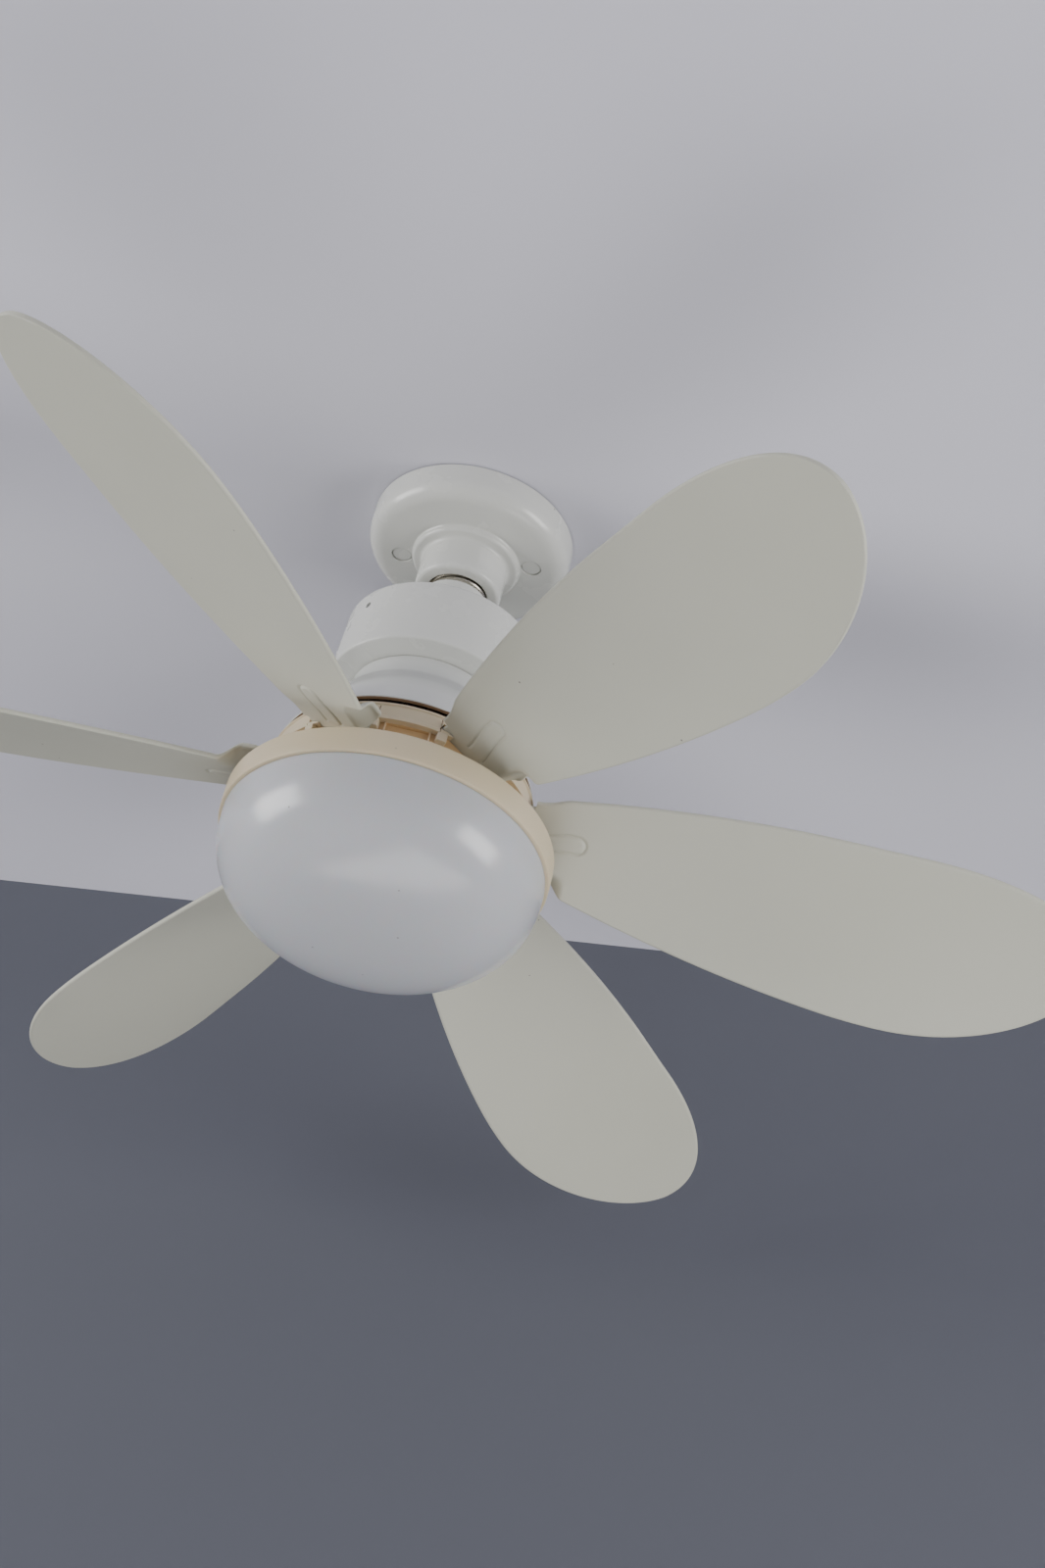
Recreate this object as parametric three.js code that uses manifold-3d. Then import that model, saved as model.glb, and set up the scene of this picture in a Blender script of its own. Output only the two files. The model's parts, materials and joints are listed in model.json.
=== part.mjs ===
// A six-bladed ceiling fan with a bowl light that hangs from a screw lampholder.
// Millimetres, +Z up. The origin is the centre of the lampholder's face on the ceiling,
// and everything hangs below it, so heights are negative.
import * as THREE from "three";
import { mergeVertices } from "three/addons/utils/BufferGeometryUtils.js";
import Module from "manifold-3d";

const wasm = await Module();
wasm.setup();

// Clearances
const GAP = 0.3; // between pieces that touch
const RUNNING = 0.6; // round a piece that slides in a pocket

// Screw cap and socket: the standard 27 mm thread
const THREAD_PITCH = 3.629;
const THREAD_DEPTH = 1;
const THREAD_PLAY = 0.55; // radial
const CAP_THREAD_R = 12.6; // mean radius
const CAP_LENGTH = 26.8;
const CAP_WALL = 0.8;
const CAP_BORE_R = CAP_THREAD_R - THREAD_DEPTH / 2 - CAP_WALL;
const TIP_H = 1.2;
const INSULATOR_H = 4.3;
const SOCKET_THREAD_R = CAP_THREAD_R + THREAD_PLAY; // mean radius
const SOCKET_WALL = 0.35;
const SOCKET_SHELL_R = SOCKET_THREAD_R + THREAD_DEPTH / 2 + SOCKET_WALL;
const SPRING_DROP = 2.2; // of the centre contact

// Lampholder
const HOLDER_R = 45.3;
const HOLDER_H = 16;
const HOLDER_EDGE = 7.5; // radius of its lower edge
const HOLDER_WALL = 2.5;
const NECK_WALL = 4.9;
const NECK_R = SOCKET_SHELL_R + GAP + NECK_WALL;
const NECK_H = 17;
const NECK_EDGE = 2.4;
const COLLAR_R = NECK_R + 4.8;
const COLLAR_H = 3;
const BACKPLATE_H = 4;
const CEILING_SCREW_PITCH = 59; // between the two fixing screws
const CEILING_SCREW_R = 2;
const CEILING_SCREW_ANGLE = -15; // degrees
const PLUG_R = 4.4;
const PLUG_DEPTH = 7.5;
const INSERT_R = SOCKET_SHELL_R + 2;
const INSERT_H = 5.7;

// Driver housing
const PEDESTAL_H = 25.9;
const PEDESTAL_HEAD_R = CAP_THREAD_R + 1.9;
const PEDESTAL_FOOT_R = PEDESTAL_HEAD_R + 6.5;
const DRUM_H = 33;
const DRUM_TOP_R = 42;
const DRUM_TAPER = 1.4; // extra radius at the bottom
const DRUM_EDGE = 2.8;
const DRUM_FLOOR_H = 2.9;
const LEDGE_DROP = 1.4; // slope of the underside
const LID_WALL = 2.3;
const LID_SKIRT_H = 14.5;
const LID_SCREW_DROP = 8.8;
const LID_SCREW_ANGLE = 94; // degrees
const LID_SCREW_COUNT = 3;
const LID_SCREW_R = 1.25;
const DRUM_BOTTOM_R = DRUM_TOP_R + DRUM_TAPER;
const DRUM_BORE_R = DRUM_TOP_R - DRUM_EDGE;
const BOARD_R = DRUM_BORE_R - GAP - LID_WALL - 2.6;
const BOARD_H = 1.6;
const BOARD_STANDOFF = 9;
const BOARD_SCREW_RING_R = BOARD_R - 8;
const SCREW_R = 1.2; // of the small screws
const SCREW_HEAD_R = 2.6;
const SCREW_HEAD_H = 1.3;

// Shaft and bearings
const SHAFT_R = 5;
const SHAFT_WALL = 1.8;
const SHAFT_BORE_R = SHAFT_R - SHAFT_WALL;
const SHAFT_FLANGE_R = SHAFT_R + 4;
const NUT_R = SHAFT_R + 3;
const NUT_H = 4;
const RETAINER_H = 1;
const BEARING_R = SHAFT_R + 4.5;
const BEARING_H = 4.8;
const BOSS_R = BEARING_R + 3;

// Rotor hub
const HUB_R = 56.3;
const HUB_H = 20.7;
const HUB_WALL = 2.6;
const HUB_COVER_H = 1.8;
const WINDOW_DROP = 9; // below the hub's top
const WINDOW_H = 9;
const WINDOW_W = 18;
const HUB_SCREW_RING_R = HUB_R - 9.3;

// Motor
const BELL_TOP_R = 33;
const BELL_TOP_H = 2.5;
const BELL_STEP_R = BELL_TOP_R + 4.7;
const BELL_NECK_H = 12.1;
const BELL_SKIRT_H = 28.6;
const BELL_EDGE_R = HUB_R - 1.3;
const BELL_WALL = 2.3;
const BELL_GAP = 3.6; // above the spinning hub
const STATOR_R = 26.6;
const STATOR_CORE_R = SHAFT_R + 5;
const STATOR_H = 12;
const STATOR_TEETH = 9;
const WINDING_H = 3.9;
const WINDING_CLEARANCE = 2.4;
const AIR_GAP = 1.9;
const MAGNET_WALL = 2.6;
const MAGNET_R = STATOR_R + AIR_GAP + MAGNET_WALL;
const CAN_WALL = 1.6;

// Blades
const BLADE_COUNT = 6;
const BLADE_PHASE = -4.6; // degrees, of the first blade
const BLADE_PITCH = 23.7; // degrees
const BLADE_TIP_R = 294.5;
const BLADE_TIP_LENGTH = 77.3; // from the widest place to the tip
const BLADE_HALF = 42.7; // half width at the widest
const BLADE_T = 2.2;
const BLADE_LEAN = 0.0294; // of the middle line off the radius, towards the lower edge
const BLADE_TIP_SWEEP = 12.6; // of the tip back towards the higher edge
const TAB_HALF = 16.3;
const TAB_START_R = HUB_R - 12;
const TAB_END_R = HUB_R + 5.2;
const BLADE_SHOULDER_R = TAB_END_R + 2;
const BLADE_SHOULDER_HALF = TAB_HALF + 5.2;
const BLADE_WIDEST_R = BLADE_TIP_R - BLADE_TIP_LENGTH;
const ROOT_DROP = 0.95; // of the root's middle below the hub's middle

// Light
const LAMP_R = 70;
const LAMP_GAP = 2; // below the spinning hub
const LAMP_H = 12;
const LAMP_WALL = 2.4;
const LAMP_PLATE_H = 2;
const HEAT_PLATE_R = LAMP_R - 10;
const HEAT_PLATE_H = 1.5;
const LED_BOARD_R = HEAT_PLATE_R - 2;
const LED_BOARD_H = 1.3;
const LED_SCREW_RING_R = LED_BOARD_R - 8;
const LED_RINGS = [[8, LED_BOARD_R - 38], [16, LED_BOARD_R - 18]]; // count and ring radius
const BOWL_R = LAMP_R - 1.7;
const BOWL_RIM_H = 3; // from the ring down to the widest place
const BOWL_DEPTH = 42;
const BOWL_POWER = 2.3;
const BOWL_WALL = 2.2;
const BOWL_COLLAR_H = 7;

// Heights, from the ceiling down
const socketTopZ = -BACKPLATE_H - GAP - INSERT_H - GAP;
const mouthZ = -HOLDER_H - COLLAR_H - NECK_H;
const capTipZ = socketTopZ - SPRING_DROP - GAP;
const capSkirtZ = capTipZ - CAP_LENGTH;
const drumTopZ = capSkirtZ - PEDESTAL_H;
const drumBottomZ = drumTopZ - DRUM_H;
const drumUndersideZ = drumBottomZ - LEDGE_DROP;
const drumFloorZ = drumUndersideZ + DRUM_FLOOR_H;
const boardZ = drumFloorZ + BOARD_STANDOFF;
const bellTopZ = drumUndersideZ - GAP;
const bellStepZ = bellTopZ - BELL_NECK_H;
const bellEdgeZ = bellStepZ - BELL_SKIRT_H;
const hubTopZ = bellEdgeZ - BELL_GAP;
const hubBottomZ = hubTopZ - HUB_H;
const bladeZ = (hubTopZ + hubBottomZ) / 2 - ROOT_DROP;
const canFloorZ = hubTopZ + GAP;
const statorZ = canFloorZ + CAN_WALL + WINDING_CLEARANCE + WINDING_H + GAP;
const statorTopZ = statorZ + STATOR_H;
const coverTopZ = hubBottomZ - GAP;
const coverLowZ = coverTopZ - HUB_COVER_H;
const lampTopZ = coverLowZ - LAMP_GAP;
const lampPlateZ = lampTopZ - LAMP_PLATE_H;
const lampBottomZ = lampTopZ - LAMP_H;
const lampNutZ = lampPlateZ - GAP;
const heatPlateTopZ = lampNutZ - NUT_H - 2.2;
const heatPlateZ = heatPlateTopZ - HEAT_PLATE_H;
const bowlWidestZ = lampBottomZ - BOWL_RIM_H;

// Smoothness
const LARGE = 28; // sides of a large round piece
const SMALL = 16; // sides of a small one
const TINY = 8; // sides of a screw and its hole

const RAD = Math.PI / 180;

// ---- Shape helpers ----

// A turned piece. The profile is [radius, height] points with the outside going up.
function turned(profile, sides) {
  const closed = profile[0][0] === 0 ? profile : [...profile, profile[0]];
  const points = closed.map(([r, z]) => new THREE.Vector2(r, z));
  return new THREE.LatheGeometry(points, sides).rotateX(Math.PI / 2);
}

function disc(r, low, high, sides) {
  return turned([[0, low], [r, low], [r, high], [0, high]], sides);
}

function ring(inner, outer, low, high, sides) {
  return turned([[inner, low], [outer, low], [outer, high], [inner, high]], sides);
}

// Points of a round corner about (r, z), from one direction to another in degrees.
function corner(r, z, radius, from, to, steps) {
  const points = [];
  for (let i = 0; i <= steps; i++) {
    const a = (from + ((to - from) * i) / steps) * RAD;
    points.push([r + radius * Math.cos(a), z + radius * Math.sin(a)]);
  }
  return points;
}

function box(low, high) {
  const size = high.map((value, i) => value - low[i]);
  const middle = high.map((value, i) => (value + low[i]) / 2);
  return new THREE.BoxGeometry(...size).translate(...middle);
}

// Extrudes an outline in the XY plane from one height to another.
function plate(outline, low, high) {
  const shape = new THREE.Shape(outline.map(([x, y]) => new THREE.Vector2(x, y)));
  const options = { depth: high - low, bevelEnabled: false };
  return new THREE.ExtrudeGeometry(shape, options).translate(0, 0, low);
}

function hexagon(r) {
  return [0, 1, 2, 3, 4, 5].map((i) => [r * Math.cos(60 * i * RAD), r * Math.sin(60 * i * RAD)]);
}

// Closes a loop of [radius, height] points, which may differ at each angle, round the axis.
function swept(loopAt, sides) {
  const loops = [];
  for (let i = 0; i < sides; i++) loops.push(loopAt((i / sides) * 2 * Math.PI));
  const count = loops[0].length;
  const positions = loops.flatMap((loop, i) => {
    const a = (i / sides) * 2 * Math.PI;
    return loop.flatMap(([r, z]) => [r * Math.cos(a), r * Math.sin(a), z]);
  });
  const faces = [];
  for (let i = 0; i < sides; i++) {
    const here = i * count;
    const next = ((i + 1) % sides) * count;
    for (let j = 0; j < count; j++) {
      const k = (j + 1) % count;
      faces.push(here + j, next + j, next + k, here + j, next + k, here + k);
    }
  }
  return indexed(positions, faces);
}

function indexed(positions, faces) {
  const geometry = new THREE.BufferGeometry();
  geometry.setAttribute("position", new THREE.Float32BufferAttribute(positions, 3));
  geometry.setIndex(faces);
  geometry.computeVertexNormals();
  return geometry;
}

function toSolid(geometry) {
  const bare = geometry.clone();
  bare.deleteAttribute("normal");
  bare.deleteAttribute("uv");
  const merged = mergeVertices(bare, 1e-4);
  const vertProperties = merged.attributes.position.array;
  const triVerts = new Uint32Array(merged.index.array);
  return new wasm.Manifold(new wasm.Mesh({ numProp: 3, vertProperties, triVerts }));
}

function toGeometry(solid) {
  const mesh = solid.getMesh();
  return indexed(Array.from(mesh.vertProperties), Array.from(mesh.triVerts));
}

// Joins the added geometries to the body, then takes the cut ones away.
function shaped(body, added, cuts) {
  let solid = toSolid(body);
  for (const piece of added) solid = solid.add(toSolid(piece));
  for (const piece of cuts) solid = solid.subtract(toSolid(piece));
  return toGeometry(solid);
}

// Copies of a geometry at a radius, evenly spaced round the axis.
function around(geometry, count, radius, phase) {
  const copies = [];
  for (let i = 0; i < count; i++) {
    const angle = (phase + (360 * i) / count) * RAD;
    copies.push(geometry.clone().translate(radius, 0, 0).rotateZ(angle));
  }
  return copies;
}

// ---- Materials ----

function finish(color, roughness, metalness) {
  return new THREE.MeshStandardMaterial({ color, roughness, metalness });
}

const materials = {
  white: finish(0xe6e6e0, 0.35, 0),
  bladeIvory: finish(0xd8d8cc, 0.6, 0),
  cream: finish(0xe6d6ba, 0.5, 0),
  opal: finish(0xe4e8f0, 0.15, 0),
  ceramic: finish(0xeeeae0, 0.4, 0),
  nickel: finish(0xc8c4b8, 0.3, 1),
  brass: finish(0xc8a85a, 0.35, 1),
  steel: finish(0x9a9c9e, 0.35, 1),
  laminations: finish(0x5c6066, 0.5, 1),
  copper: finish(0xb4632c, 0.4, 1),
  magnet: finish(0x2c2c30, 0.6, 0.2),
  board: finish(0x2f6b3c, 0.6, 0),
  black: finish(0x1c1c1e, 0.5, 0),
  aluminium: finish(0xb8bcc0, 0.4, 1),
  boardWhite: finish(0xf4f4f2, 0.5, 0),
};

const fan = new THREE.Group();

function piece(name, geometry, material, parent = fan) {
  const mesh = new THREE.Mesh(geometry, material);
  mesh.name = name;
  parent.add(mesh);
  return mesh;
}

// A small screw with its head below: the head's seat is at seatZ and the tip at tipZ above it.
function hangingScrew(seatZ, tipZ) {
  const top = seatZ - GAP;
  const low = top - SCREW_HEAD_H;
  return turned(
    [[0, low], [SCREW_HEAD_R, low], [SCREW_HEAD_R, top], [SCREW_R, top], [SCREW_R, tipZ], [0, tipZ]],
    TINY,
  );
}

// ---- Lampholder ----

const ceilingScrewR = CEILING_SCREW_PITCH / 2;
const roofZ = HOLDER_WALL - HOLDER_H; // inside of the holder's lower face
const plugSeatZ = PLUG_DEPTH - HOLDER_H;

function addHolderCover() {
  const bore = SOCKET_SHELL_R + GAP;
  const shell = turned(
    [
      [bore, mouthZ],
      ...corner(NECK_R - NECK_EDGE, mouthZ + NECK_EDGE, NECK_EDGE, -90, 0, 3),
      [NECK_R, -HOLDER_H - COLLAR_H],
      [COLLAR_R - 0.7, -HOLDER_H - COLLAR_H],
      [COLLAR_R, -HOLDER_H - COLLAR_H + 0.7],
      [COLLAR_R, -HOLDER_H],
      ...corner(HOLDER_R - HOLDER_EDGE, HOLDER_EDGE - HOLDER_H, HOLDER_EDGE, -90, 0, 4),
      [HOLDER_R, 0],
      [HOLDER_R - HOLDER_WALL, 0],
      [HOLDER_R - HOLDER_WALL, HOLDER_EDGE - HOLDER_H],
      [HOLDER_R - HOLDER_EDGE, roofZ],
      [bore, roofZ],
    ],
    LARGE,
  );
  const boss = disc(PLUG_R + 2, roofZ - HOLDER_WALL / 2, -BACKPLATE_H - GAP, SMALL);
  const plugHole = disc(PLUG_R + GAP, -HOLDER_H - 1, plugSeatZ, SMALL);
  const screwHole = disc(CEILING_SCREW_R + GAP, plugSeatZ - 1, 0, TINY);
  const placed = (shape) => around(shape, 2, ceilingScrewR, CEILING_SCREW_ANGLE);
  const cuts = [...placed(plugHole), ...placed(screwHole)];
  piece("holder_cover", shaped(shell, placed(boss), cuts), materials.white);
}

function addHolderBackplate() {
  const body = disc(HOLDER_R - HOLDER_WALL - GAP, -BACKPLATE_H, 0, LARGE);
  const hole = disc(CEILING_SCREW_R + GAP, -BACKPLATE_H - 1, 1, TINY);
  const cuts = around(hole, 2, ceilingScrewR, CEILING_SCREW_ANGLE);
  piece("holder_backplate", shaped(body, [], cuts), materials.black);
}

function addCeilingScrews() {
  const headTop = plugSeatZ - GAP;
  const headLow = headTop - 2;
  const screw = turned(
    [
      [0, headLow],
      [PLUG_R - GAP, headLow + 0.8],
      [PLUG_R - GAP, headTop],
      [CEILING_SCREW_R, headTop],
      [CEILING_SCREW_R, -GAP],
      [0, -GAP],
    ],
    SMALL,
  );
  const plugTop = headLow - GAP;
  const plugLow = 0.3 - HOLDER_H;
  const plug = turned(
    [[0, plugLow], [PLUG_R - 0.2, plugLow], [PLUG_R, plugLow + 0.2], [PLUG_R, plugTop], [0, plugTop]],
    SMALL,
  );
  for (const [name, shape, material] of [
    ["ceiling_screw", screw, materials.steel],
    ["screw_cap", plug, materials.white],
  ])
    around(shape, 2, ceilingScrewR, CEILING_SCREW_ANGLE).forEach((copy, i) =>
      piece(name + "_" + (i + 1), copy, material),
    );
}

function addSocket() {
  const high = -BACKPLATE_H - GAP;
  const low = high - INSERT_H;
  const terminalX = INSERT_R + 3;
  const ears = box([-terminalX - 3, -4, low + 2], [terminalX + 3, 4, high]);
  const hole = disc(SCREW_R + GAP, low - 1, high - 1, TINY);
  const holes = around(hole, 2, terminalX, 0);
  const insert = shaped(disc(INSERT_R, low, high, SMALL), [ears], holes);
  insert.rotateZ((CEILING_SCREW_ANGLE + 90) * RAD);
  piece("socket_insert", insert, materials.ceramic);

  const terminal = hangingScrew(low + 2, high - 1 - GAP);
  around(terminal, 2, terminalX, CEILING_SCREW_ANGLE + 90).forEach((copy, i) =>
    piece("terminal_screw_" + (i + 1), copy, materials.brass),
  );

  const bottom = mouthZ + 1.6;
  piece(
    "socket_shell",
    swept((angle) => [
      [SOCKET_SHELL_R, bottom],
      [SOCKET_SHELL_R, socketTopZ],
      ...threadLine(SOCKET_THREAD_R, angle, socketTopZ, bottom),
    ], SMALL),
    materials.nickel,
  );

  const contactLow = socketTopZ - SPRING_DROP;
  const strip = [
    [-8, socketTopZ], [-8, socketTopZ - 0.5], [-4.2, socketTopZ - 0.5], [0.8, contactLow],
    [4, contactLow], [4, contactLow + 0.5], [1, contactLow + 0.5], [-4, socketTopZ],
  ];
  const contact = plate(strip, -2.5, 2.5).rotateX(Math.PI / 2);
  piece("centre_contact", contact, materials.brass);
}

// One side of a right-hand thread at an angle, from one height to another.
function threadLine(radius, angle, from, to) {
  const steps = Math.ceil(Math.abs(to - from) / (THREAD_PITCH / 4));
  const points = [];
  for (let i = 0; i <= steps; i++) {
    const z = from + ((to - from) * i) / steps;
    const wave = Math.cos((2 * Math.PI * z) / THREAD_PITCH - angle);
    points.push([radius + (THREAD_DEPTH / 2) * wave, z]);
  }
  return points;
}

// ---- Screw cap ----

const insulatorTopZ = capTipZ - TIP_H - GAP;
const capTopZ = insulatorTopZ - INSULATOR_H - GAP;

function addCap() {
  const tipLow = capTipZ - TIP_H;
  const tip = [[0, tipLow], [4.6, tipLow], [4.6, tipLow + 0.6], [3.6, capTipZ], [0, capTipZ]];
  piece("cap_contact", turned(tip, SMALL), materials.nickel);

  const low = insulatorTopZ - INSULATOR_H;
  const insulator = [
    [0, low], [CAP_BORE_R + 0.5, low], [CAP_BORE_R, low + 1.4], [5.6, insulatorTopZ], [0, insulatorTopZ],
  ];
  piece("cap_insulator", turned(insulator, SMALL), materials.black);

  const skirtR = CAP_THREAD_R + THREAD_DEPTH / 2;
  const threadEndZ = capSkirtZ + 3;
  piece(
    "cap_shell",
    swept((angle) => [
      [CAP_BORE_R, capTopZ],
      [CAP_BORE_R, capSkirtZ],
      [skirtR, capSkirtZ],
      [skirtR, threadEndZ],
      ...threadLine(CAP_THREAD_R, angle, threadEndZ + 0.5, capTopZ),
    ], SMALL),
    materials.nickel,
  );
}

// ---- Driver housing ----

const boardScrewAngle = 90;
const lidScrewZ = drumTopZ - LID_SCREW_DROP;

function lidScrewHoles(radius) {
  const drill = disc(radius, BOARD_R, DRUM_BOTTOM_R + 1, TINY).rotateY(Math.PI / 2);
  return around(drill.translate(0, 0, lidScrewZ), LID_SCREW_COUNT, 0, LID_SCREW_ANGLE);
}

function addPedestalLid() {
  const skirtR = DRUM_BORE_R - GAP;
  const spigotR = CAP_BORE_R - GAP;
  const shoulderZ = capSkirtZ - GAP;
  const discLow = drumTopZ - LID_WALL;
  const body = turned(
    [
      [skirtR - LID_WALL, drumTopZ - LID_SKIRT_H],
      [skirtR, drumTopZ - LID_SKIRT_H],
      [skirtR, drumTopZ],
      [PEDESTAL_FOOT_R + 3, drumTopZ],
      [PEDESTAL_FOOT_R + 0.8, drumTopZ + 0.9],
      [PEDESTAL_FOOT_R, drumTopZ + 3],
      [PEDESTAL_HEAD_R, shoulderZ - 2.5],
      [PEDESTAL_HEAD_R, shoulderZ],
      [spigotR, shoulderZ],
      [spigotR, capTopZ - 1],
      [spigotR - LID_WALL, capTopZ - 1],
      [spigotR - LID_WALL, shoulderZ - 2.5],
      [PEDESTAL_FOOT_R - LID_WALL, discLow + 3],
      [PEDESTAL_FOOT_R - LID_WALL, discLow],
      [skirtR - LID_WALL, discLow],
    ],
    LARGE,
  );
  piece("pedestal_lid", shaped(body, [], lidScrewHoles(LID_SCREW_R + GAP)), materials.white);
}

function addDrumShell() {
  const wall = turned(
    [
      [SHAFT_R + GAP, drumUndersideZ],
      [BELL_TOP_R, drumUndersideZ],
      [DRUM_BOTTOM_R - 1.2, drumBottomZ - 0.5],
      [DRUM_BOTTOM_R, drumBottomZ + 0.7],
      ...corner(DRUM_TOP_R - DRUM_EDGE, drumTopZ - DRUM_EDGE, DRUM_EDGE, 0, 90, 3),
      [DRUM_BORE_R, drumTopZ - 0.4],
      [DRUM_BORE_R, drumFloorZ],
      [SHAFT_R + GAP, drumFloorZ],
    ],
    LARGE,
  );
  const boss = disc(SCREW_HEAD_R + 0.6, drumFloorZ - 1, boardZ - GAP, TINY);
  const bossHole = disc(SCREW_R + GAP, drumFloorZ + 1, boardZ, TINY);
  const placed = (shape) => around(shape, 3, BOARD_SCREW_RING_R, boardScrewAngle);
  const cuts = [...placed(bossHole), ...lidScrewHoles(LID_SCREW_R + GAP)];
  piece("drum_shell", shaped(wall, placed(boss), cuts), materials.white);
}

function addLidScrews() {
  const start = DRUM_BORE_R - GAP - LID_WALL;
  const screw = disc(LID_SCREW_R, start, DRUM_TOP_R - 1.4, TINY).rotateY(Math.PI / 2);
  screw.translate(0, 0, lidScrewZ);
  around(screw, LID_SCREW_COUNT, 0, LID_SCREW_ANGLE).forEach((copy, i) =>
    piece("lid_screw_" + (i + 1), copy, materials.steel),
  );
}

function addDriver() {
  const top = boardZ + BOARD_H;
  const hole = disc(SCREW_R + GAP, boardZ - 1, top + 1, TINY);
  const cuts = around(hole, 3, BOARD_SCREW_RING_R, boardScrewAngle);
  const board = ring(NUT_R + 1, BOARD_R, boardZ, top, LARGE / 2);
  piece("driver_board", shaped(board, [], cuts), materials.board);

  const seat = top + GAP;
  const screw = turned(
    [
      [0, boardZ - 5],
      [SCREW_R, boardZ - 5],
      [SCREW_R, seat],
      [SCREW_HEAD_R, seat],
      [SCREW_HEAD_R, seat + SCREW_HEAD_H],
      [0, seat + SCREW_HEAD_H],
    ],
    TINY,
  );
  around(screw, 3, BOARD_SCREW_RING_R, boardScrewAngle).forEach((copy, i) =>
    piece("board_screw_" + (i + 1), copy, materials.steel),
  );

  const partTop = drumTopZ - LID_WALL - 5;
  const onBoard = (shape, angle) => around(shape, 1, BOARD_R - 16, angle)[0];
  const transformer = box([-7, -7, seat], [7, 7, partTop]);
  piece("transformer", onBoard(transformer, boardScrewAngle + 60), materials.black);
  const capacitor = disc(5.5, seat, partTop, SMALL);
  piece("capacitor", onBoard(capacitor, boardScrewAngle - 60), materials.magnet);
}

// ---- Motor ----

function addMotorCover() {
  const innerStepR = BELL_STEP_R - BELL_WALL;
  const bell = [
    [SHAFT_R + GAP, bellTopZ - BELL_TOP_H],
    [BELL_TOP_R - BELL_WALL, bellTopZ - BELL_TOP_H],
    [innerStepR, bellStepZ],
    [BELL_EDGE_R - BELL_WALL, bellEdgeZ],
    [BELL_EDGE_R, bellEdgeZ],
    [BELL_STEP_R, bellStepZ],
    [BELL_TOP_R + 1.2, bellStepZ + 5.2],
    [BELL_TOP_R + 0.2, bellStepZ + 9],
    [BELL_TOP_R, bellTopZ],
    [SHAFT_R + GAP, bellTopZ],
  ];
  piece("motor_cover", turned(bell, LARGE), materials.white);
}

const retainerZ = coverLowZ - GAP; // top of the retaining ring

function addShaft() {
  const top = drumFloorZ + GAP + NUT_H + 1;
  const flangeTop = bellTopZ - BELL_TOP_H - GAP;
  const bottom = lampNutZ - NUT_H - 1;
  const grooveR = SHAFT_R - 0.6;
  const shaft = turned(
    [
      [SHAFT_BORE_R, bottom],
      [SHAFT_R, bottom],
      [SHAFT_R, retainerZ - RETAINER_H - GAP],
      [grooveR, retainerZ - RETAINER_H - GAP],
      [grooveR, retainerZ + GAP],
      [SHAFT_R, retainerZ + GAP],
      [SHAFT_R, flangeTop - 3],
      [SHAFT_FLANGE_R, flangeTop - 3],
      [SHAFT_FLANGE_R, flangeTop],
      [SHAFT_R, flangeTop],
      [SHAFT_R, top],
      [SHAFT_BORE_R, top],
    ],
    SMALL,
  );
  piece("motor_shaft", shaft, materials.steel);
  const retainer = ring(SHAFT_R - 0.2, SHAFT_R + 2.2, retainerZ - RETAINER_H, retainerZ, SMALL);
  piece("retaining_ring", retainer, materials.steel);

  for (const [name, low] of [
    ["upper_shaft_nut", drumFloorZ + GAP],
    ["lower_shaft_nut", lampNutZ - NUT_H],
  ]) {
    const hole = disc(SHAFT_R + GAP, low - 1, low + NUT_H + 1, SMALL);
    const nut = shaped(plate(hexagon(NUT_R), low, low + NUT_H), [], [hole]);
    piece(name, nut, materials.steel);
  }
}

function addStator() {
  const toothHalf = 2;
  const shoe = 9; // half angle of a tooth's face, degrees
  const outline = [];
  for (let i = 0; i < STATOR_TEETH; i++) {
    const middle = (360 * i) / STATOR_TEETH;
    const neck = Math.asin(toothHalf / STATOR_CORE_R) / RAD;
    const neckOut = Math.asin(toothHalf / (STATOR_R - 2)) / RAD;
    for (const [r, a] of [
      [STATOR_CORE_R, -neck], [STATOR_R - 2, -neckOut], [STATOR_R - 1.2, -shoe], [STATOR_R, -shoe],
      [STATOR_R, shoe], [STATOR_R - 1.2, shoe], [STATOR_R - 2, neckOut], [STATOR_CORE_R, neck],
    ])
      outline.push([r * Math.cos((middle + a) * RAD), r * Math.sin((middle + a) * RAD)]);
  }
  const bore = disc(SHAFT_R + GAP, statorZ - 1, statorTopZ + 1, SMALL);
  const core = shaped(plate(outline, statorZ, statorTopZ), [], [bore]);
  piece("stator_core", core, materials.laminations);

  const coil = (low) => {
    const high = low + WINDING_H;
    const inner = STATOR_CORE_R + 1;
    const outer = STATOR_R - 2.6;
    return turned(
      [
        [inner, low + 1], [inner + 1, low], [outer - 2, low], [outer, low + 1],
        [outer, high - 1], [outer - 2, high], [inner + 1, high], [inner, high - 1],
      ],
      LARGE / 2,
    );
  };
  piece("winding_upper", coil(statorTopZ + GAP), materials.copper);
  piece("winding_lower", coil(statorZ - GAP - WINDING_H), materials.copper);
}

function addRotorCan() {
  const outer = MAGNET_R + GAP + CAN_WALL;
  const top = statorTopZ + WINDING_H;
  const can = [
    [BOSS_R + 1, canFloorZ], [outer, canFloorZ], [outer, top], [outer - CAN_WALL, top],
    [outer - CAN_WALL, canFloorZ + CAN_WALL], [BOSS_R + 1, canFloorZ + CAN_WALL],
  ];
  piece("rotor_can", turned(can, LARGE), materials.steel);
  const magnet = ring(MAGNET_R - MAGNET_WALL, MAGNET_R, statorZ - 2, statorTopZ + 2, LARGE);
  piece("magnet_ring", magnet, materials.magnet);
}

// ---- Rotor hub ----

const bearingPocketR = BEARING_R + GAP;
const upperBearingZ = hubTopZ - 1.2 - BEARING_H;
const lowerBearingZ = coverTopZ + 0.2;
const hubScrewAngle = BLADE_PHASE + 180 / BLADE_COUNT;
const lipR = BEARING_R - 2;

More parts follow.
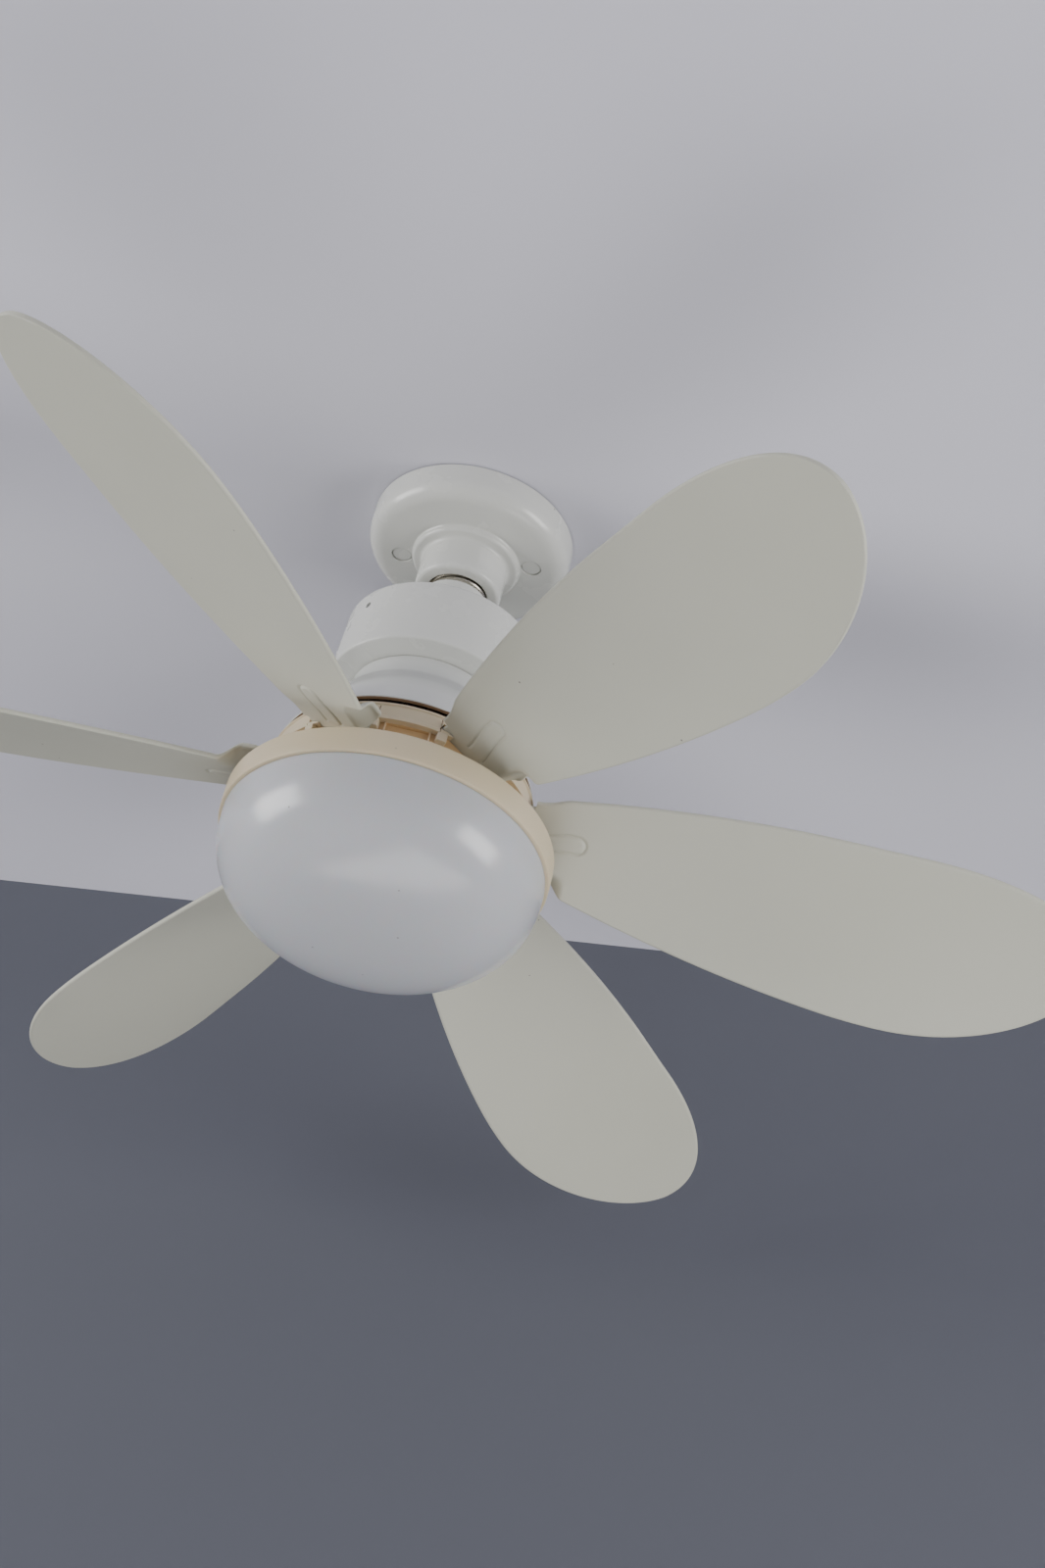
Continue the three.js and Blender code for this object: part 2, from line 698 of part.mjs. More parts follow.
// A box along a blade's root: it starts and ends at radii and is tilted like the blade.
function rootBox(from, to, half, thickness) {
  const body = box([from, -half, -thickness / 2], [to, half, thickness / 2]);
  const tilted = body.rotateX(-BLADE_PITCH * RAD).translate(0, 0, bladeZ);
  return around(tilted, BLADE_COUNT, 0, BLADE_PHASE);
}

function addHub() {
  const plateLow = hubTopZ - HUB_WALL;
  const bossLow = upperBearingZ - GAP - 2;
  const shell = turned(
    [
      [lipR, bossLow],
      [BOSS_R, bossLow],
      [BOSS_R, plateLow],
      [HUB_R - HUB_WALL, plateLow],
      [HUB_R - HUB_WALL, hubBottomZ],
      [HUB_R, hubBottomZ],
      [HUB_R, hubTopZ - 0.8],
      [HUB_R - 0.8, hubTopZ],
      [bearingPocketR, hubTopZ],
      [bearingPocketR, upperBearingZ - GAP],
      [lipR, upperBearingZ - GAP],
    ],
    LARGE,
  );
  const frames = rootBox(TAB_START_R - 3, HUB_R - 1, TAB_HALF + 2, BLADE_T + RUNNING + 4);
  const boss = disc(SCREW_R + 2.2, hubBottomZ, plateLow + 1, TINY);
  const bosses = around(boss, 3, HUB_SCREW_RING_R, hubScrewAngle);
  const slots = rootBox(TAB_START_R - 1, HUB_R + 10, TAB_HALF + GAP, BLADE_T + RUNNING);
  const below = box([-HUB_R, -HUB_R, hubBottomZ - 10], [HUB_R, HUB_R, hubBottomZ]);
  const windowTopZ = hubTopZ - WINDOW_DROP;
  const windowLow = windowTopZ - WINDOW_H;
  const window = box([-4, -WINDOW_W / 2, windowLow], [4, WINDOW_W / 2, windowTopZ]);
  const windows = around(window, BLADE_COUNT, HUB_R, hubScrewAngle);
  const hole = disc(SCREW_R + GAP, hubBottomZ - 1, hubBottomZ + 9, TINY);
  const holes = around(hole, 3, HUB_SCREW_RING_R, hubScrewAngle);
  const hub = shaped(shell, [...frames, ...bosses], [below, ...slots, ...windows, ...holes]);
  piece("rotor_hub", hub, materials.cream);
}

function addHubCover() {
  const body = turned(
    [
      [lipR, coverLowZ],
      [HUB_R, coverLowZ],
      [HUB_R, coverTopZ],
      [BOSS_R, coverTopZ],
      [BOSS_R, lowerBearingZ + BEARING_H + 1],
      [bearingPocketR, lowerBearingZ + BEARING_H + 1],
      [bearingPocketR, lowerBearingZ - GAP],
      [lipR, lowerBearingZ - GAP],
    ],
    LARGE,
  );
  const hole = disc(SCREW_R + GAP, coverLowZ - 1, coverTopZ + 1, TINY);
  const holes = around(hole, 3, HUB_SCREW_RING_R, hubScrewAngle);
  piece("rotor_cover", shaped(body, [], holes), materials.cream);
  const screw = hangingScrew(coverLowZ, hubBottomZ + 8);
  around(screw, 3, HUB_SCREW_RING_R, hubScrewAngle).forEach((copy, i) =>
    piece("hub_screw_" + (i + 1), copy, materials.steel),
  );
}

function addBearings() {
  for (const [name, low] of [["upper_bearing", upperBearingZ], ["lower_bearing", lowerBearingZ]])
    piece(name, ring(SHAFT_R + GAP, BEARING_R, low, low + BEARING_H, SMALL), materials.steel);
}

// ---- Blades ----

// Height of the blade's middle above its root plane, and the height of its middle over its
// edges, at shares of the way from the shoulder to the tip.
const SAG = [[0, 0], [0.25, -2.1], [0.5, -5.5], [0.8, -8.8], [1, -11.7]];
const CAMBER = [[0, 0], [0.25, 1], [0.5, 1.5], [0.8, 1], [1, 0]];

// Smooth value at a share of the way through [share, value] points.
function smoothAt(points, share) {
  const next = Math.max(1, points.findIndex(([at]) => at >= share));
  const [[from, low], [to, high]] = [points[next - 1], points[next]];
  return low + (high - low) * THREE.MathUtils.smoothstep(share, from, to);
}

function halfWidth(r) {
  if (r < BLADE_WIDEST_R) {
    const back = (BLADE_WIDEST_R - r) / (BLADE_WIDEST_R - BLADE_SHOULDER_R);
    return BLADE_HALF - (BLADE_HALF - BLADE_SHOULDER_HALF) * back ** 1.9;
  }
  const out = (r - BLADE_WIDEST_R) / BLADE_TIP_LENGTH;
  return BLADE_HALF * Math.sqrt(Math.max(0, 1 - out ** 2));
}

function chordMiddle(r) {
  const start = BLADE_WIDEST_R - 28;
  const sweep = BLADE_TIP_SWEEP * Math.max(0, (r - start) / (BLADE_TIP_R - start)) ** 2;
  return BLADE_LEAN * (r - BLADE_SHOULDER_R) - sweep;
}

// Radii with the half width, the middle, the height and the camber of each section.
function bladeSections() {
  const radii = [];
  const plain = 8;
  for (let i = 0; i <= plain; i++)
    radii.push(BLADE_SHOULDER_R + ((BLADE_WIDEST_R - BLADE_SHOULDER_R) * i) / plain);
  for (const turn of [22, 42, 58, 70, 79, 86])
    radii.push(BLADE_WIDEST_R + BLADE_TIP_LENGTH * Math.sin(turn * RAD));
  const wide = radii.map((r) => {
    const share = (r - BLADE_SHOULDER_R) / (BLADE_TIP_R - BLADE_SHOULDER_R);
    return [r, halfWidth(r), chordMiddle(r), smoothAt(SAG, share), smoothAt(CAMBER, share)];
  });
  return [[TAB_START_R, TAB_HALF, 0, 0, 0], [TAB_END_R, TAB_HALF, 0, 0, 0], ...wide];
}

function bladeGeometry() {
  const sections = bladeSections();
  const across = 4;
  const positions = [];
  for (const side of [1, -1])
    for (const [r, half, middle, height, bend] of sections)
      for (let j = 0; j <= across; j++) {
        const share = (2 * j) / across - 1;
        const z = height - bend * share ** 2 + (side * BLADE_T) / 2;
        positions.push(r, middle + half * share, z);
      }
  const row = across + 1;
  const layer = row * sections.length;
  const faces = [];
  const quad = (a, b, c, d) => faces.push(a, b, c, a, c, d);
  for (let i = 0; i + 1 < sections.length; i++) {
    for (let j = 0; j < across; j++) {
      const a = i * row + j;
      quad(a, a + row, a + row + 1, a + 1);
      quad(layer + a, layer + a + 1, layer + a + row + 1, layer + a + row);
    }
    const low = i * row;
    const high = low + across;
    quad(low, layer + low, layer + low + row, low + row);
    quad(high, high + row, layer + high + row, layer + high);
  }
  const tip = (sections.length - 1) * row;
  for (let j = 0; j < across; j++) {
    quad(j, j + 1, layer + j + 1, layer + j);
    quad(tip + j, layer + tip + j, layer + tip + j + 1, tip + j + 1);
  }
  return indexed(positions, faces);
}

function addBlades() {
  const geometry = bladeGeometry();
  for (let i = 0; i < BLADE_COUNT; i++) {
    const arm = new THREE.Group();
    arm.position.z = bladeZ;
    arm.rotation.z = (BLADE_PHASE + (360 * i) / BLADE_COUNT) * RAD;
    fan.add(arm);
    const blade = piece("blade_" + (i + 1), geometry, materials.bladeIvory, arm);
    blade.rotation.x = -BLADE_PITCH * RAD;
  }
}

// ---- Light ----

const ledBoardTopZ = heatPlateZ - GAP;
const ledBoardZ = ledBoardTopZ - LED_BOARD_H;
const ledScrewAngle = 90;

function addLampRing() {
  const inner = LAMP_R - LAMP_WALL;
  const body = turned(
    [
      [SHAFT_R + GAP, lampPlateZ],
      [inner, lampPlateZ],
      [inner, lampBottomZ],
      [LAMP_R, lampBottomZ],
      [LAMP_R, lampTopZ - 0.8],
      [LAMP_R - 0.8, lampTopZ],
      [SHAFT_R + GAP, lampTopZ],
    ],
    LARGE,
  );
  const boss = disc(SCREW_R + 2.4, heatPlateTopZ + GAP, lampPlateZ + 1, TINY);
  const hole = disc(SCREW_R + GAP, heatPlateTopZ, lampPlateZ, TINY);
  const placed = (shape) => around(shape, 3, LED_SCREW_RING_R, ledScrewAngle);
  piece("lamp_ring", shaped(body, placed(boss), placed(hole)), materials.cream);
}

function addLedBoard() {
  const hole = disc(SCREW_R + GAP, ledBoardZ - 1, heatPlateTopZ + 1, TINY);
  const holes = around(hole, 3, LED_SCREW_RING_R, ledScrewAngle);
  const heatPlate = ring(NUT_R + 1, HEAT_PLATE_R, heatPlateZ, heatPlateTopZ, LARGE);
  piece("heat_plate", shaped(heatPlate, [], holes), materials.aluminium);

  const chip = box([-1.8, -1.8, ledBoardZ - 0.7], [1.8, 1.8, ledBoardZ + 0.5]);
  const chips = LED_RINGS.flatMap(([count, radius]) => around(chip, count, radius, 0));
  const board = ring(SHAFT_BORE_R, LED_BOARD_R, ledBoardZ, ledBoardTopZ, LARGE);
  piece("led_board", shaped(board, chips, holes), materials.boardWhite);

  const screw = hangingScrew(ledBoardZ, lampPlateZ - 1);
  around(screw, 3, LED_SCREW_RING_R, ledScrewAngle).forEach((copy, i) =>
    piece("led_screw_" + (i + 1), copy, materials.steel),
  );
}

// A quarter of the bowl's section, from the lowest point out and up, or back down again.
function bowlCurve(radius, depth, back) {
  const points = [];
  const steps = 8;
  for (let i = 0; i <= steps; i++) {
    const a = (90 * (back ? steps - i : i) * RAD) / steps;
    const power = 2 / BOWL_POWER;
    points.push([radius * Math.sin(a) ** power, bowlWidestZ - depth * Math.cos(a) ** power]);
  }
  return points;
}

function addDiffuser() {
  const collarR = LAMP_R - LAMP_WALL - RUNNING;
  const rimZ = lampBottomZ - GAP;
  const outside = bowlCurve(BOWL_R, BOWL_DEPTH, false);
  const inside = bowlCurve(BOWL_R - BOWL_WALL - 1.2, BOWL_DEPTH - BOWL_WALL, true);
  outside[0][0] = 0;
  inside[inside.length - 1][0] = 0;
  const profile = [
    ...outside,
    [BOWL_R - 0.5, rimZ],
    [collarR, rimZ],
    [collarR, rimZ + BOWL_COLLAR_H],
    [collarR - BOWL_WALL, rimZ + BOWL_COLLAR_H],
    ...inside,
  ];
  piece("diffuser", turned(profile, LARGE), materials.opal);
}

addHolderCover();
addHolderBackplate();
addCeilingScrews();
addSocket();
addCap();
addPedestalLid();
addDrumShell();
addLidScrews();
addDriver();
addMotorCover();
addShaft();
addStator();
addRotorCan();
addHub();
addHubCover();
addBearings();
addBlades();
addLampRing();
addLedBoard();
addDiffuser();

export default fan;
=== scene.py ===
import json
import math

import bpy
from mathutils import Matrix, Quaternion, Vector


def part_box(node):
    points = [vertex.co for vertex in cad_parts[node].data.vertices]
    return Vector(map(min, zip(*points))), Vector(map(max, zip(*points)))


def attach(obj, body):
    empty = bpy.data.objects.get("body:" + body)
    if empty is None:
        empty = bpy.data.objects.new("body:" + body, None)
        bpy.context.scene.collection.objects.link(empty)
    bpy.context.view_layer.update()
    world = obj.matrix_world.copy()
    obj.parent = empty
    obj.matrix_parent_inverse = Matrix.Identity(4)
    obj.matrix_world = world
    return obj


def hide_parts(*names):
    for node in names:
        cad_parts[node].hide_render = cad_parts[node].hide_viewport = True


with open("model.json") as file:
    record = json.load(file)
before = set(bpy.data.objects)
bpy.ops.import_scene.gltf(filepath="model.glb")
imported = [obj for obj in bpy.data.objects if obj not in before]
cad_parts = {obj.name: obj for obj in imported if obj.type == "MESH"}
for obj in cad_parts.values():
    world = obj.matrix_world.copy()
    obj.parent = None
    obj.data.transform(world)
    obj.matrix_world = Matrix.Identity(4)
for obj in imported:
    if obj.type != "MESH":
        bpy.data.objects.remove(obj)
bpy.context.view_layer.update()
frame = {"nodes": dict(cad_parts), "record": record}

# ---- Camera ----
# The fan is looked up at from in front and below, with the camera leaning to its right.
VIEWPOINT = Vector((0, -1.00547, -0.86869))
LOOKED_AT = Vector((0.04867, 0, -0.12592))
LEAN = 14.19  # degrees
camera_data = bpy.data.cameras.new("camera")
camera_data.lens = 67.77
camera_data.sensor_width = 36
camera = bpy.data.objects.new("camera", camera_data)
bpy.context.scene.collection.objects.link(camera)
aimed = (LOOKED_AT - VIEWPOINT).to_track_quat("-Z", "Y")
turn = aimed @ Quaternion((0, 0, 1), math.radians(LEAN))
camera.matrix_world = Matrix.Translation(VIEWPOINT) @ turn.to_matrix().to_4x4()
bpy.context.scene.camera = camera


# ---- Studio ----
# Two soft boxes stand level with the light on its left and its right, and a weaker one
# stands below and behind. A pale room, dimmer in front of the fan, lights the rest.
LIT_POINT = Vector((0, 0, -0.15))


def soft_box(name, place, width, height, power, gloss, colour=(1.0, 0.99, 0.97)):
    data = bpy.data.lights.new(name, "AREA")
    data.shape = "RECTANGLE"
    data.size = width
    data.size_y = height
    data.energy = power
    data.color = colour
    data.specular_factor = gloss
    lamp = bpy.data.objects.new(name, data)
    lamp.rotation_euler = (LIT_POINT - Vector(place)).to_track_quat("-Z", "Y").to_euler()
    lamp.location = place
    bpy.context.scene.collection.objects.link(lamp)


soft_box("left_box", (-1.55, -0.20, -0.36), 0.9, 0.75, 18.5, 0.95)
soft_box("right_box", (1.25, -0.72, -0.46), 0.75, 0.6, 12.5, 0.8)
soft_box("low_box", (0.25, 0.20, -1.30), 1.4, 1.0, 11.5, 0)

room = bpy.data.worlds.new("room")
bpy.context.scene.world = room
room.use_nodes = True
room_nodes, room_links = room.node_tree.nodes, room.node_tree.links
room_nodes["Background"].inputs["Color"].default_value = (0.60, 0.605, 0.65, 1)
direction = room_nodes.new("ShaderNodeSeparateXYZ")
fade = room_nodes.new("ShaderNodeMapRange")
fade.inputs["From Min"].default_value = -1
fade.inputs["From Max"].default_value = 0.3
fade.inputs["To Min"].default_value = 0.52
fade.inputs["To Max"].default_value = 0.86
whole_sphere = room_nodes.new("ShaderNodeTexCoord")
room_links.new(whole_sphere.outputs["Generated"], direction.inputs["Vector"])
room_links.new(direction.outputs["Y"], fade.inputs["Value"])
room_links.new(fade.outputs["Result"], room_nodes["Background"].inputs["Strength"])


# ---- Room surfaces ----
# A painted ceiling, the wall behind the fan and a pale floor. Each is seen from inside the
# room only, so the fan can be looked at from above and from behind.
def room_surface(name, corners, colour):
    bpy.ops.object.select_all(action="DESELECT")
    bpy.ops.mesh.primitive_plane_add(size=1)
    surface = bpy.context.object
    surface.name = name
    across_rows = (corners[0], corners[1], corners[3], corners[2])
    for vertex, corner in zip(surface.data.vertices, across_rows):
        vertex.co = corner
    paint = bpy.data.materials.new(name)
    paint.use_nodes = True
    nodes, links = paint.node_tree.nodes, paint.node_tree.links
    shader = nodes["Principled BSDF"]
    shader.inputs["Base Color"].default_value = (*colour, 1)
    shader.inputs["Roughness"].default_value = 0.9
    shader.inputs["Specular IOR Level"].default_value = 0.1
    side = nodes.new("ShaderNodeNewGeometry")
    clear = nodes.new("ShaderNodeBsdfTransparent")
    either = nodes.new("ShaderNodeMixShader")
    links.new(side.outputs["Backfacing"], either.inputs["Fac"])
    links.new(shader.outputs["BSDF"], either.inputs[1])
    links.new(clear.outputs["BSDF"], either.inputs[2])
    links.new(either.outputs["Shader"], nodes["Material Output"].inputs["Surface"])
    surface.data.materials.append(paint)


LEFT_END = Vector((-1.53, 0.80, 0.0005))
RIGHT_END = Vector((1.53, -0.145, 0.0005))
FRONT = Vector((-0.7, -2.2, 0))
FLOOR_Z = -1.6
FLOOR_REACH = 3
DOWN = Vector((0, 0, FLOOR_Z))
room_surface(
    "ceiling", (LEFT_END, RIGHT_END, RIGHT_END + FRONT, LEFT_END + FRONT), (0.71, 0.705, 0.785)
)
room_surface(
    "wall", (LEFT_END + DOWN, RIGHT_END + DOWN, RIGHT_END, LEFT_END), (0.115, 0.12, 0.145)
)
floor_corners = [
    Vector((FLOOR_REACH * x, FLOOR_REACH * y, FLOOR_Z))
    for x, y in ((-1, -1), (1, -1), (1, 1), (-1, 1))
]
room_surface("floor", floor_corners, (0.62, 0.62, 0.62))

# ---- Lampholder cover ----
# The ceiling lampholder is one white urea moulding: a wide cap that screws to the ceiling,
# a flared collar and a neck that holds the threaded shell. Its corners are moulded round.
MM = 0.001


def span(node):
    """A round node's radius, then its lowest and highest z, in millimetres."""
    low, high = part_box(node)
    return high.x / MM, low.z / MM, high.z / MM


def arc(r, z, radius, start, end, steps=6):
    """Points of a round corner about (r, z), from one direction to another in degrees."""
    turns = [math.radians(start + (end - start) * i / steps) for i in range(steps + 1)]
    return [(r + radius * math.cos(a), z + radius * math.sin(a)) for a in turns]


def finished(piece, name, angle=35):
    """Merges doubles, turns faces outwards, shades smooth and leaves the object at the origin."""
    bpy.ops.mesh.select_all(action="SELECT")
    bpy.ops.mesh.remove_doubles(threshold=0.00001)
    bpy.ops.mesh.normals_make_consistent(inside=False)
    bpy.ops.object.mode_set(mode="OBJECT")
    bpy.ops.object.transform_apply(location=True, rotation=True, scale=True)
    bpy.ops.object.shade_smooth_by_angle(angle=math.radians(angle))
    piece.name = name
    piece.data.name = name
    return piece


def turned(name, profile, sides=128, edge=0.3, angle=35):
    """A turned piece: a ring of edges is extruded along a profile of (radius, z) millimetres.
    A closed profile comes back to its first point. Its sharp corners are rounded by edge."""
    poles = profile[0][0] == 0
    path = profile[1:] if poles else profile + profile[:1]
    radius, z = path[0]
    bpy.ops.object.select_all(action="DESELECT")
    bpy.ops.mesh.primitive_circle_add(
        vertices=sides, radius=radius * MM, location=(0, 0, z * MM),
        fill_type="TRIFAN" if poles else "NOTHING",
    )
    piece = bpy.context.object
    bpy.ops.object.mode_set(mode="EDIT")
    if poles:
        bpy.ops.mesh.select_mode(type="EDGE")
        bpy.ops.mesh.select_non_manifold()
        bpy.ops.mesh.region_to_loop()
    for next_radius, next_z in path[1:]:
        rise = (0, 0, (next_z - z) * MM)
        bpy.ops.mesh.extrude_edges_move(TRANSFORM_OT_translate={"value": rise})
        if next_radius == 0:
            bpy.ops.mesh.merge(type="CENTER")
            break
        grow = next_radius / radius
        bpy.ops.transform.resize(value=(grow, grow, 1), center_override=(0, 0, next_z * MM))
        radius, z = next_radius, next_z
    finished(piece, name, angle)
    if edge:
        rounded(piece, edge, angle)
    return piece


def rounded(piece, width, angle=35, segments=2):
    """Rounds the corners sharper than angle by width millimetres."""
    bevel = piece.modifiers.new("corners", "BEVEL")
    bevel.width = width * MM
    bevel.segments = segments
    bevel.limit_method = "ANGLE"
    bevel.angle_limit = math.radians(angle)
    apply_modifiers(piece)


def apply_modifiers(piece):
    bpy.ops.object.select_all(action="DESELECT")
    piece.select_set(True)
    bpy.context.view_layer.objects.active = piece
    for modifier in list(piece.modifiers):
        bpy.ops.object.modifier_apply(modifier=modifier.name)


def cut(piece, cutters):
    """Cuts each cutter out of a piece and removes the cutter."""
    for cutter in cutters:
        hole = piece.modifiers.new("hole", "BOOLEAN")
        hole.operation = "DIFFERENCE"
        hole.object = cutter
        hole.solver = "EXACT"
    apply_modifiers(piece)
    for cutter in cutters:
        bpy.data.objects.remove(cutter)


def drill(radius, place, toward, depth, sides=32):
    """A round cutter of millimetres, from a place along a direction."""
    bpy.ops.object.select_all(action="DESELECT")
    bpy.ops.mesh.primitive_cylinder_add(vertices=sides, radius=radius * MM, depth=depth * MM)
    tool = bpy.context.object
    toward = Vector(toward).normalized()
    tool.rotation_euler = toward.to_track_quat("Z", "Y").to_euler()
    tool.location = (Vector(place) + toward * depth / 2) * MM
    return tool


def polar(radius, angle, z):
    turn_by = math.radians(angle)
    return Vector((radius * math.cos(turn_by), radius * math.sin(turn_by), z))


SPECKS_PER_METRE = 60
SPECK_SHARE = 0.028  # of the way from one speck to the next


def finish(
    name, tone, drift, roughness, uneven=0.06, cloud=14, grain=1400, depth=0.02, specks=None,
    wear_and_edge_highlight=None, brushed=None, **shader,
):
    """A finish whose colour drifts from tone to drift, with a grain of depth millimetres, uneven
    gloss, a few specks of another colour, and convex corners turned lighter, partly by wear and
    partly as a painted edge highlight. brushed stretches it along an axis."""
    made = bpy.data.materials.new(name)
    made.use_nodes = True
    nodes, links = made.node_tree.nodes, made.node_tree.links
    surface = nodes["Principled BSDF"]
    for socket, value in shader.items():
        surface.inputs[socket.replace("_", " ")].default_value = value
    place = nodes.new("ShaderNodeTexCoord").outputs["Object"]
    if brushed:
        stretch = nodes.new("ShaderNodeMapping")
        stretch.inputs["Scale"].default_value = brushed
        links.new(place, stretch.inputs["Vector"])
        place = stretch.outputs["Vector"]

    def noise(scale, detail):
        texture = nodes.new("ShaderNodeTexNoise")
        texture.inputs["Scale"].default_value = scale
        texture.inputs["Detail"].default_value = detail
        links.new(place, texture.inputs["Vector"])
        return texture.outputs["Fac"]

    def between(factor, low, high):
        spread = nodes.new("ShaderNodeMapRange")
        spread.inputs["From Min"].default_value = 0.3
        spread.inputs["From Max"].default_value = 0.7
        spread.inputs["To Min"].default_value = low
        spread.inputs["To Max"].default_value = high
        links.new(factor, spread.inputs["Value"])
        return spread.outputs["Result"]

    def mixed(factor, first, second):
        mix = nodes.new("ShaderNodeMix")
        mix.data_type = "RGBA"
        links.new(factor, mix.inputs["Factor"])
        for socket, value in ((mix.inputs["A"], first), (mix.inputs["B"], second)):
            if isinstance(value, tuple):
                socket.default_value = (*value, 1)
            else:
                links.new(value, socket)
        return mix.outputs["Result"]

    colour = mixed(between(noise(cloud, 3), 0, 1), tone, drift)
    if specks:
        dots = nodes.new("ShaderNodeTexVoronoi")
        dots.inputs["Scale"].default_value = SPECKS_PER_METRE
        dots.inputs["Randomness"].default_value = 1
        links.new(place, dots.inputs["Vector"])
        small = nodes.new("ShaderNodeMath")
        small.operation = "LESS_THAN"
        small.inputs[1].default_value = SPECK_SHARE
        links.new(dots.outputs["Distance"], small.inputs[0])
        colour = mixed(small.outputs["Value"], colour, specks)
    # Convex corners, found by their pointiness, are mixed toward a lighter colour: partly wear,
    # partly a painted highlight along the edges.
    if wear_and_edge_highlight:
        corners = nodes.new("ShaderNodeNewGeometry")
        sharp = nodes.new("ShaderNodeMapRange")
        sharp.inputs["From Min"].default_value = 0.54
        sharp.inputs["From Max"].default_value = 0.66
        sharp.inputs["To Max"].default_value = 0.7
        links.new(corners.outputs["Pointiness"], sharp.inputs["Value"])
        colour = mixed(sharp.outputs["Result"], colour, wear_and_edge_highlight)
    links.new(colour, surface.inputs["Base Color"])
    gloss = between(noise(cloud * 4, 4), roughness - uneven, roughness + uneven)
    links.new(gloss, surface.inputs["Roughness"])
    bump = nodes.new("ShaderNodeBump")
    bump.inputs["Strength"].default_value = 0.5
    bump.inputs["Distance"].default_value = depth * MM
    links.new(noise(grain, 3), bump.inputs["Height"])
    links.new(bump.outputs["Normal"], surface.inputs["Normal"])
    return made


def placed(piece, body, slot, material, *stands_for):
    """Gives a finished piece its material and its place in the assembly."""
    piece.data.materials.clear()
    piece.data.materials.append(material)
    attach(piece, body)
    if stands_for:
        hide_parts(*stands_for)


white_plastic = finish(
    "white_plastic", (0.685, 0.695, 0.655), (0.725, 0.73, 0.69), 0.26, cloud=11, grain=900,
    depth=0.012, specks=(0.42, 0.42, 0.38), wear_and_edge_highlight=(0.80, 0.80, 0.77), Specular_IOR_Level=0.5,
    Coat_Weight=0.12, Coat_Roughness=0.16,
)

HOLDER_EDGE = 7.5
HOLDER_WALL = 2.5
COLLAR_R = 24
COLLAR_H = 3
NECK_R = 19.2
NECK_BORE = 14.3
LIP_R = 13.3  # of the mouth, which hides the threaded shell's edge
HOLDER_H = 16
SCREW_PITCH = 59
SCREW_TURN = -15  # degrees
PLUG_R = 4.4
holder_r, mouth_z, ceiling_z = span("holder_cover")
holder_face = -HOLDER_H
collar_z = holder_face - COLLAR_H
holder = turned(
    "lampholder_cover",
    [
        (NECK_BORE, holder_face + HOLDER_WALL),
        (NECK_BORE, mouth_z + 1.4),
        (LIP_R, mouth_z + 1.2),
        (LIP_R, mouth_z + 0.5),
        (LIP_R + 0.5, mouth_z),
        *arc(NECK_R - 1.9, mouth_z + 1.9, 1.9, -90, 0),
        (NECK_R + 0.05, mouth_z + 6),
        (NECK_R, collar_z - 1.6),
        *arc(NECK_R + 1.9, collar_z - 2.0, 1.9, 180, 100),
        *arc(COLLAR_R - 1.6, collar_z + 1.6, 1.6, -90, 0),
        (COLLAR_R, holder_face - 0.6),
        (COLLAR_R + 0.5, holder_face),
        *arc(holder_r - HOLDER_EDGE, holder_face + HOLDER_EDGE, HOLDER_EDGE, -90, 0, 10),
        (holder_r, ceiling_z),
        (holder_r - HOLDER_WALL, ceiling_z),
        (holder_r - HOLDER_WALL, holder_face + HOLDER_EDGE),
        (holder_r - HOLDER_EDGE, holder_face + HOLDER_WALL),
    ],
    edge=0.25, angle=40,
)
plug_places = [polar(SCREW_PITCH / 2, SCREW_TURN + half * 180, 0) for half in (0, 1)]
cut(holder, [
    drill(PLUG_R + 0.2, place + Vector((0, 0, holder_face - 1)), (0, 0, 1), 12, 48)
    for place in plug_places
])
placed(holder, "lampholder", "white_plastic", white_plastic, "holder_cover")

# ---- Screw plugs ----
# Two push-in white plugs hide the ceiling screws. Each is a turned button with a soft edge
# that sits just below the lampholder's face, in a narrow groove.
plug_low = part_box("screw_cap_1")[0].z / MM
for number, place in enumerate(plug_places, 1):
    plug = turned(
        f"screw_plug_{number}",
        [
            (0, plug_low), (PLUG_R - 1.6, plug_low), (PLUG_R - 0.5, plug_low + 0.08),
            (PLUG_R, plug_low + 0.5), (PLUG_R, plug_low + 5.4), (0, plug_low + 5.4),
        ],
        sides=48, edge=0.1,
    )
    plug.data.transform(Matrix.Translation(place * MM))
    placed(plug, "lampholder", "white_plastic", white_plastic, f"screw_cap_{number}")

# ---- Socket shell and screw cap ----
# Two nickel-plated brass shells with the same rolled thread, one inside the other. The outer
# one is held in the lampholder and the inner one is crimped on the fan's pedestal.
THREAD_PITCH = 3.629
THREAD_DEPTH = 1.0
nickel = finish(
    "nickel_plate", (0.60, 0.57, 0.50), (0.50, 0.47, 0.41), 0.28, uneven=0.1, cloud=60, grain=500,
    depth=0.01, wear_and_edge_highlight=(0.78, 0.74, 0.62), Metallic=1.0,
)


def threaded(name, mean_r, back_r, bottom, top, plain):
    """A shell whose one side is rolled into a right-hand thread, plain millimetres up from its
    bottom, while the other side at back_r is smooth."""
    steps = int((top - bottom) / 0.3)
    rolled = [(mean_r, bottom + (top - bottom) * i / steps) for i in range(steps + 1)]
    shell = turned(name, rolled + [(back_r, top), (back_r, bottom)], sides=72, edge=0)
    for vertex in shell.data.vertices:
        x, y, z = vertex.co / MM
        if abs(math.hypot(x, y) - mean_r) > 0.2:
            continue
        wave = math.cos(2 * math.pi * z / THREAD_PITCH - math.atan2(y, x))
        grow = (mean_r + wave * THREAD_DEPTH / 2) / mean_r if z > bottom + plain else 1
        vertex.co.x *= grow
        vertex.co.y *= grow
    return shell


